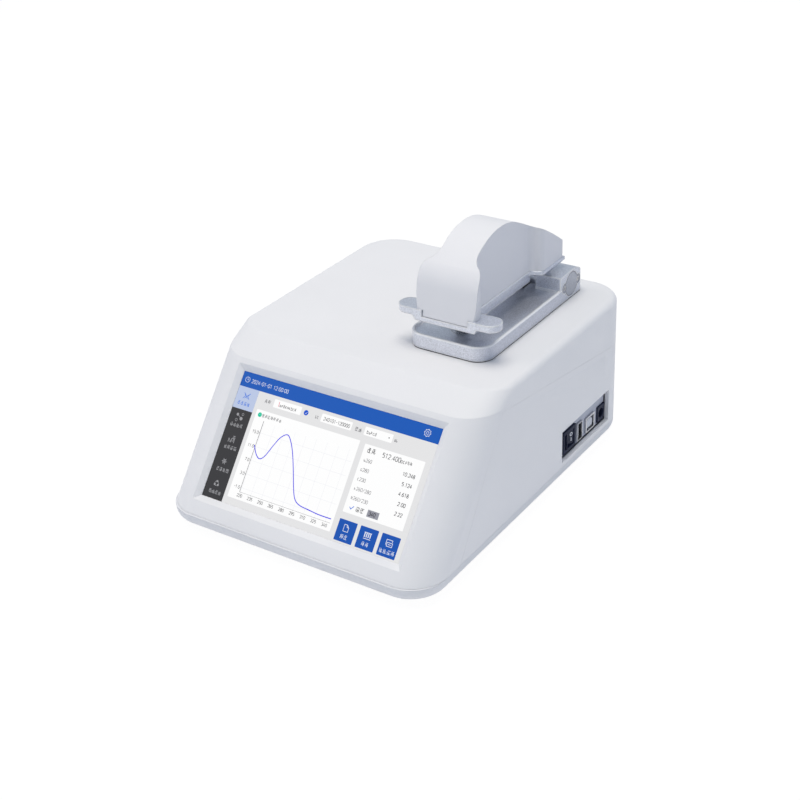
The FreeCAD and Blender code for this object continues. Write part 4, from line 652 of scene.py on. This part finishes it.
# results card
cards.box(0.682, 0.260, 0.971, 0.775, 0.4)
dark_text.word(2, 0.702, 0.318, 3.1, 0.34, dense=True)
dark_text.number("512.400", 0.776, 0.318, 2.8, 0.36)
dark_text.word(5, 0.864, 0.318, 2.4, 0.28)
ROWS = (("260", "10.248"), ("280", "5.124"), ("230", "4.618"), ("260/280", "2.00"), ("260/230", "2.22"))
for number, (label, value) in enumerate(ROWS):
    base = 0.387 + number * 0.0715
    grey_text.word(1, 0.700, base, 2.1, 0.24)
    grey_text.number(label, 0.710, base, 2.1, 0.25)
    dark_text.number(value, 0.947, base + 0.012, 2.2, 0.34, end=True)
blue_text.line([(0.7075, 0.728), (0.7145, 0.742), (0.7265, 0.716)], 0.5)
dark_text.word(2, 0.738, 0.748, 3.0, 0.32, dense=True)
grey_box.box(0.793, 0.705, 0.848, 0.757)
dark_text.number("340", 0.801, 0.744, 2.3, 0.36)

# three buttons
for number in range(3):
    left = 0.682 + number * 0.1035
    buttons.box(left, 0.826, left + 0.087, 0.986, 0.5)
    middle = left + 0.0435
    if number == 0:
        light_text.sketch(middle - 0.013, 0.908, (3.5, 4.3), [
            [(0.0, 0), (0.0, 1), (0.6, 1), (1, 0.65), (1, 0), (0.0, 0)],
            [(0.6, 1), (0.6, 0.65), (1, 0.65)]], 0.34)
    elif number == 1:
        light_text.sketch(middle - 0.018, 0.908, (5.3, 4.2), [
            [(bar, 0.9), (bar, 0.2)] for bar in (0.1, 0.36, 0.62, 0.88)], 0.72)
        light_text.sketch(middle - 0.018, 0.908, (5.3, 4.2), [[(0, 0.92), (1, 0.92)], [(0, 0), (1, 0)]], 0.4)
    else:
        light_text.sketch(middle - 0.015, 0.908, (4.6, 4.3), [
            [(0, 0.15), (0, 0.95), (0.9, 0.95), (0.9, 0.7)],
            [(0.15, 0.55), (1, 0.55), (1, 0), (0.15, 0), (0.15, 0.55)],
            [(0.35, 0.28), (0.8, 0.28)]], 0.38)
    signs = 4 if number == 2 else 2
    light_text.word(signs, middle - signs * 0.0086, 0.963, 2.6, 0.24, dense=True)

edge_line.line([(1.0005, 0.0), (1.0005, 1.0)], 0.30)
for layer in layers:
    layer.build()

# ---------------------------------------------------------------- socket details

def slab(name, outline, low, high, body, finish, place=None):
    """A slab that faces +X, with its outline in y and z and from x low to x high, in mm."""
    count = len(outline)
    vertices = [(x * MM, y * MM, z * MM) for x in (low, high) for y, z in outline]
    faces = [tuple(range(count - 1, -1, -1)), tuple(range(count, 2 * count))]
    faces += [(number, (number + 1) % count, (number + 1) % count + count, number + count)
              for number in range(count)]
    piece = make_piece(name, vertices, faces, finish, place)
    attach(piece, body)


def notched(left, low, right, high, cut):
    """Rectangle whose two upper corners are cut away."""
    return [(left, low), (right, low), (right, high - cut), (right - cut, high), (left + cut, high),
            (left, high - cut)]


insert_finish = moulded("insert_white", tint(206, 209, 218), 0.4, edge=0.0004)
slab("device_socket_insert", notched(78.6, 23.0, 86.0, 29.6, 1.6), 92.0, 100.4, "case",
     insert_finish)
slab("host_socket_tongue", notched(65.4, 22.6, 66.5, 32.0, 0.3), 90.0, 100.2, "case",
     insert_finish)


def ring_outline(outer, inner):
    """Outline of a flat ring, run round the outside and then back round the inside."""
    turns = [math.tau * number / 24 for number in range(25)]
    return ([(outer * math.cos(turn), outer * math.sin(turn)) for turn in turns]
            + [(inner * math.cos(turn), inner * math.sin(turn)) for turn in reversed(turns)])


# off and on marks on the rear half of the rocker: a point of its face in x and y, and the face's lean
ROCKER_FACE = (100.54, 55.21)
ROCKER_LEAN = math.radians(-10.9)
mark_finish = moulded("mark_white", tint(222, 225, 233), 0.45, edge=0.0002)
for name, height, outline in (
        ("rocker_ring", 30.7, ring_outline(1.45, 0.75)),
        ("rocker_bar", 26.8, [(-0.4, -1.4), (0.4, -1.4), (0.4, 1.4), (-0.4, 1.4)])):
    spot = Matrix.Translation(Vector((*ROCKER_FACE, height)) * MM) @ Matrix.Rotation(ROCKER_LEAN, 4, "Z")
    slab(name, outline, -0.10, 0.05, "rocker", mark_finish, spot)

# ---------------------------------------------------------------- floor, light and camera

def floor_paint():
    """Pale floor: nearly white to the camera, with a faint contact shadow, and dimmer to the object."""
    surface = Surface("floor_paint")
    speck = surface.range(surface.noise(30, 3), 0.0, 1.0, 0.3, 0.7)
    surface.set(Base_Color=surface.mix(speck, (0.87, 0.87, 0.88, 1), (0.89, 0.89, 0.90, 1)), Roughness=0.8,
                Specular_IOR_Level=0.1, Emission_Color=(1, 1, 1, 1), Emission_Strength=0.08)
    glow = surface.tree.nodes.new("ShaderNodeEmission")
    path = surface.tree.nodes.new("ShaderNodeLightPath")
    glow.inputs["Color"].default_value = (1, 1, 1, 1)
    glow.inputs["Strength"].default_value = 1.03
    seen = surface.math("MULTIPLY", path.outputs["Is Camera Ray"], 0.93)
    blend = surface.tree.nodes.new("ShaderNodeMixShader")
    surface.join(seen, blend.inputs["Fac"])
    surface.join(surface.shader.outputs["BSDF"], blend.inputs[1])
    surface.join(glow.outputs["Emission"], blend.inputs[2])
    surface.join(blend.outputs["Shader"], surface.output.inputs["Surface"])
    return surface.material


def floor_piece():
    """A wide flat floor of many square tiles with no gap."""
    count = 8
    reach = 8.0
    step = 2 * reach / count
    vertices = [(-reach + column * step, -reach + row * step, 0.0)
                for row in range(count + 1) for column in range(count + 1)]
    faces = []
    for row in range(count):
        for column in range(count):
            start = row * (count + 1) + column
            faces.append((start, start + 1, start + count + 2, start + count + 1))
    make_piece("floor", vertices, faces, floor_paint())


LIGHT_REACH = 2.0
LIGHT_SIDE = 1.1
LIGHT_TARGET = Vector((0, 0, 0.06))
# each soft box: its turn round the object from the front and its height in degrees, power and colour
LIGHTS = (
    ("light_top", 0, 88, 22.4, (1.0, 0.947, 0.845)),
    ("light_left", 300, 45, 3.7, (1.0, 0.81, 0.69)),
    ("light_front", 315, 15, 1.85, (0.82, 0.90, 1.0)),
    ("light_back", 135, 15, 1.4, (0.74, 0.71, 1.0)),
)
SURROUND = (0.77, 0.866, 1.0, 1)
SURROUND_STRENGTH = 0.507
CAMERA_PLACE = (0.50496, -0.72463, 0.54764)
CAMERA_TURN = (1.062721, 0.041171, 0.586176)
CAMERA_LENS = 67.4


def soft_light(name, turn, height, power, colour):
    """A square soft box that faces the object."""
    light = bpy.data.lights.new(name, "AREA")
    light.size = LIGHT_SIDE
    light.energy = power
    light.color = colour
    item = bpy.data.objects.new(name, light)
    flat = math.cos(math.radians(height))
    way = Vector((flat * math.sin(math.radians(turn)), -flat * math.cos(math.radians(turn)),
                  math.sin(math.radians(height))))
    item.location = LIGHT_TARGET + way * LIGHT_REACH
    item.rotation_euler = (-way).to_track_quat("-Z", "Y").to_euler()
    bpy.context.scene.collection.objects.link(item)


def light_scene():
    """The soft boxes and an even, faintly blue surround."""
    for light in LIGHTS:
        soft_light(*light)
    world = bpy.data.worlds.new("studio")
    bpy.context.scene.world = world
    world.use_nodes = True
    back = world.node_tree.nodes["Background"]
    back.inputs["Color"].default_value = SURROUND
    back.inputs["Strength"].default_value = SURROUND_STRENGTH
    bpy.context.scene.view_settings.view_transform = "Standard"


def set_camera():
    """The camera, near the front right corner and looking down on the object."""
    lens = bpy.data.cameras.new("camera")
    lens.lens = CAMERA_LENS
    lens.sensor_width = 36
    lens.clip_start = 0.01
    lens.clip_end = 30
    camera = bpy.data.objects.new("camera", lens)
    camera.location = CAMERA_PLACE
    camera.rotation_euler = CAMERA_TURN
    bpy.context.scene.collection.objects.link(camera)
    bpy.context.scene.camera = camera


floor_piece()
light_scene()
set_camera()
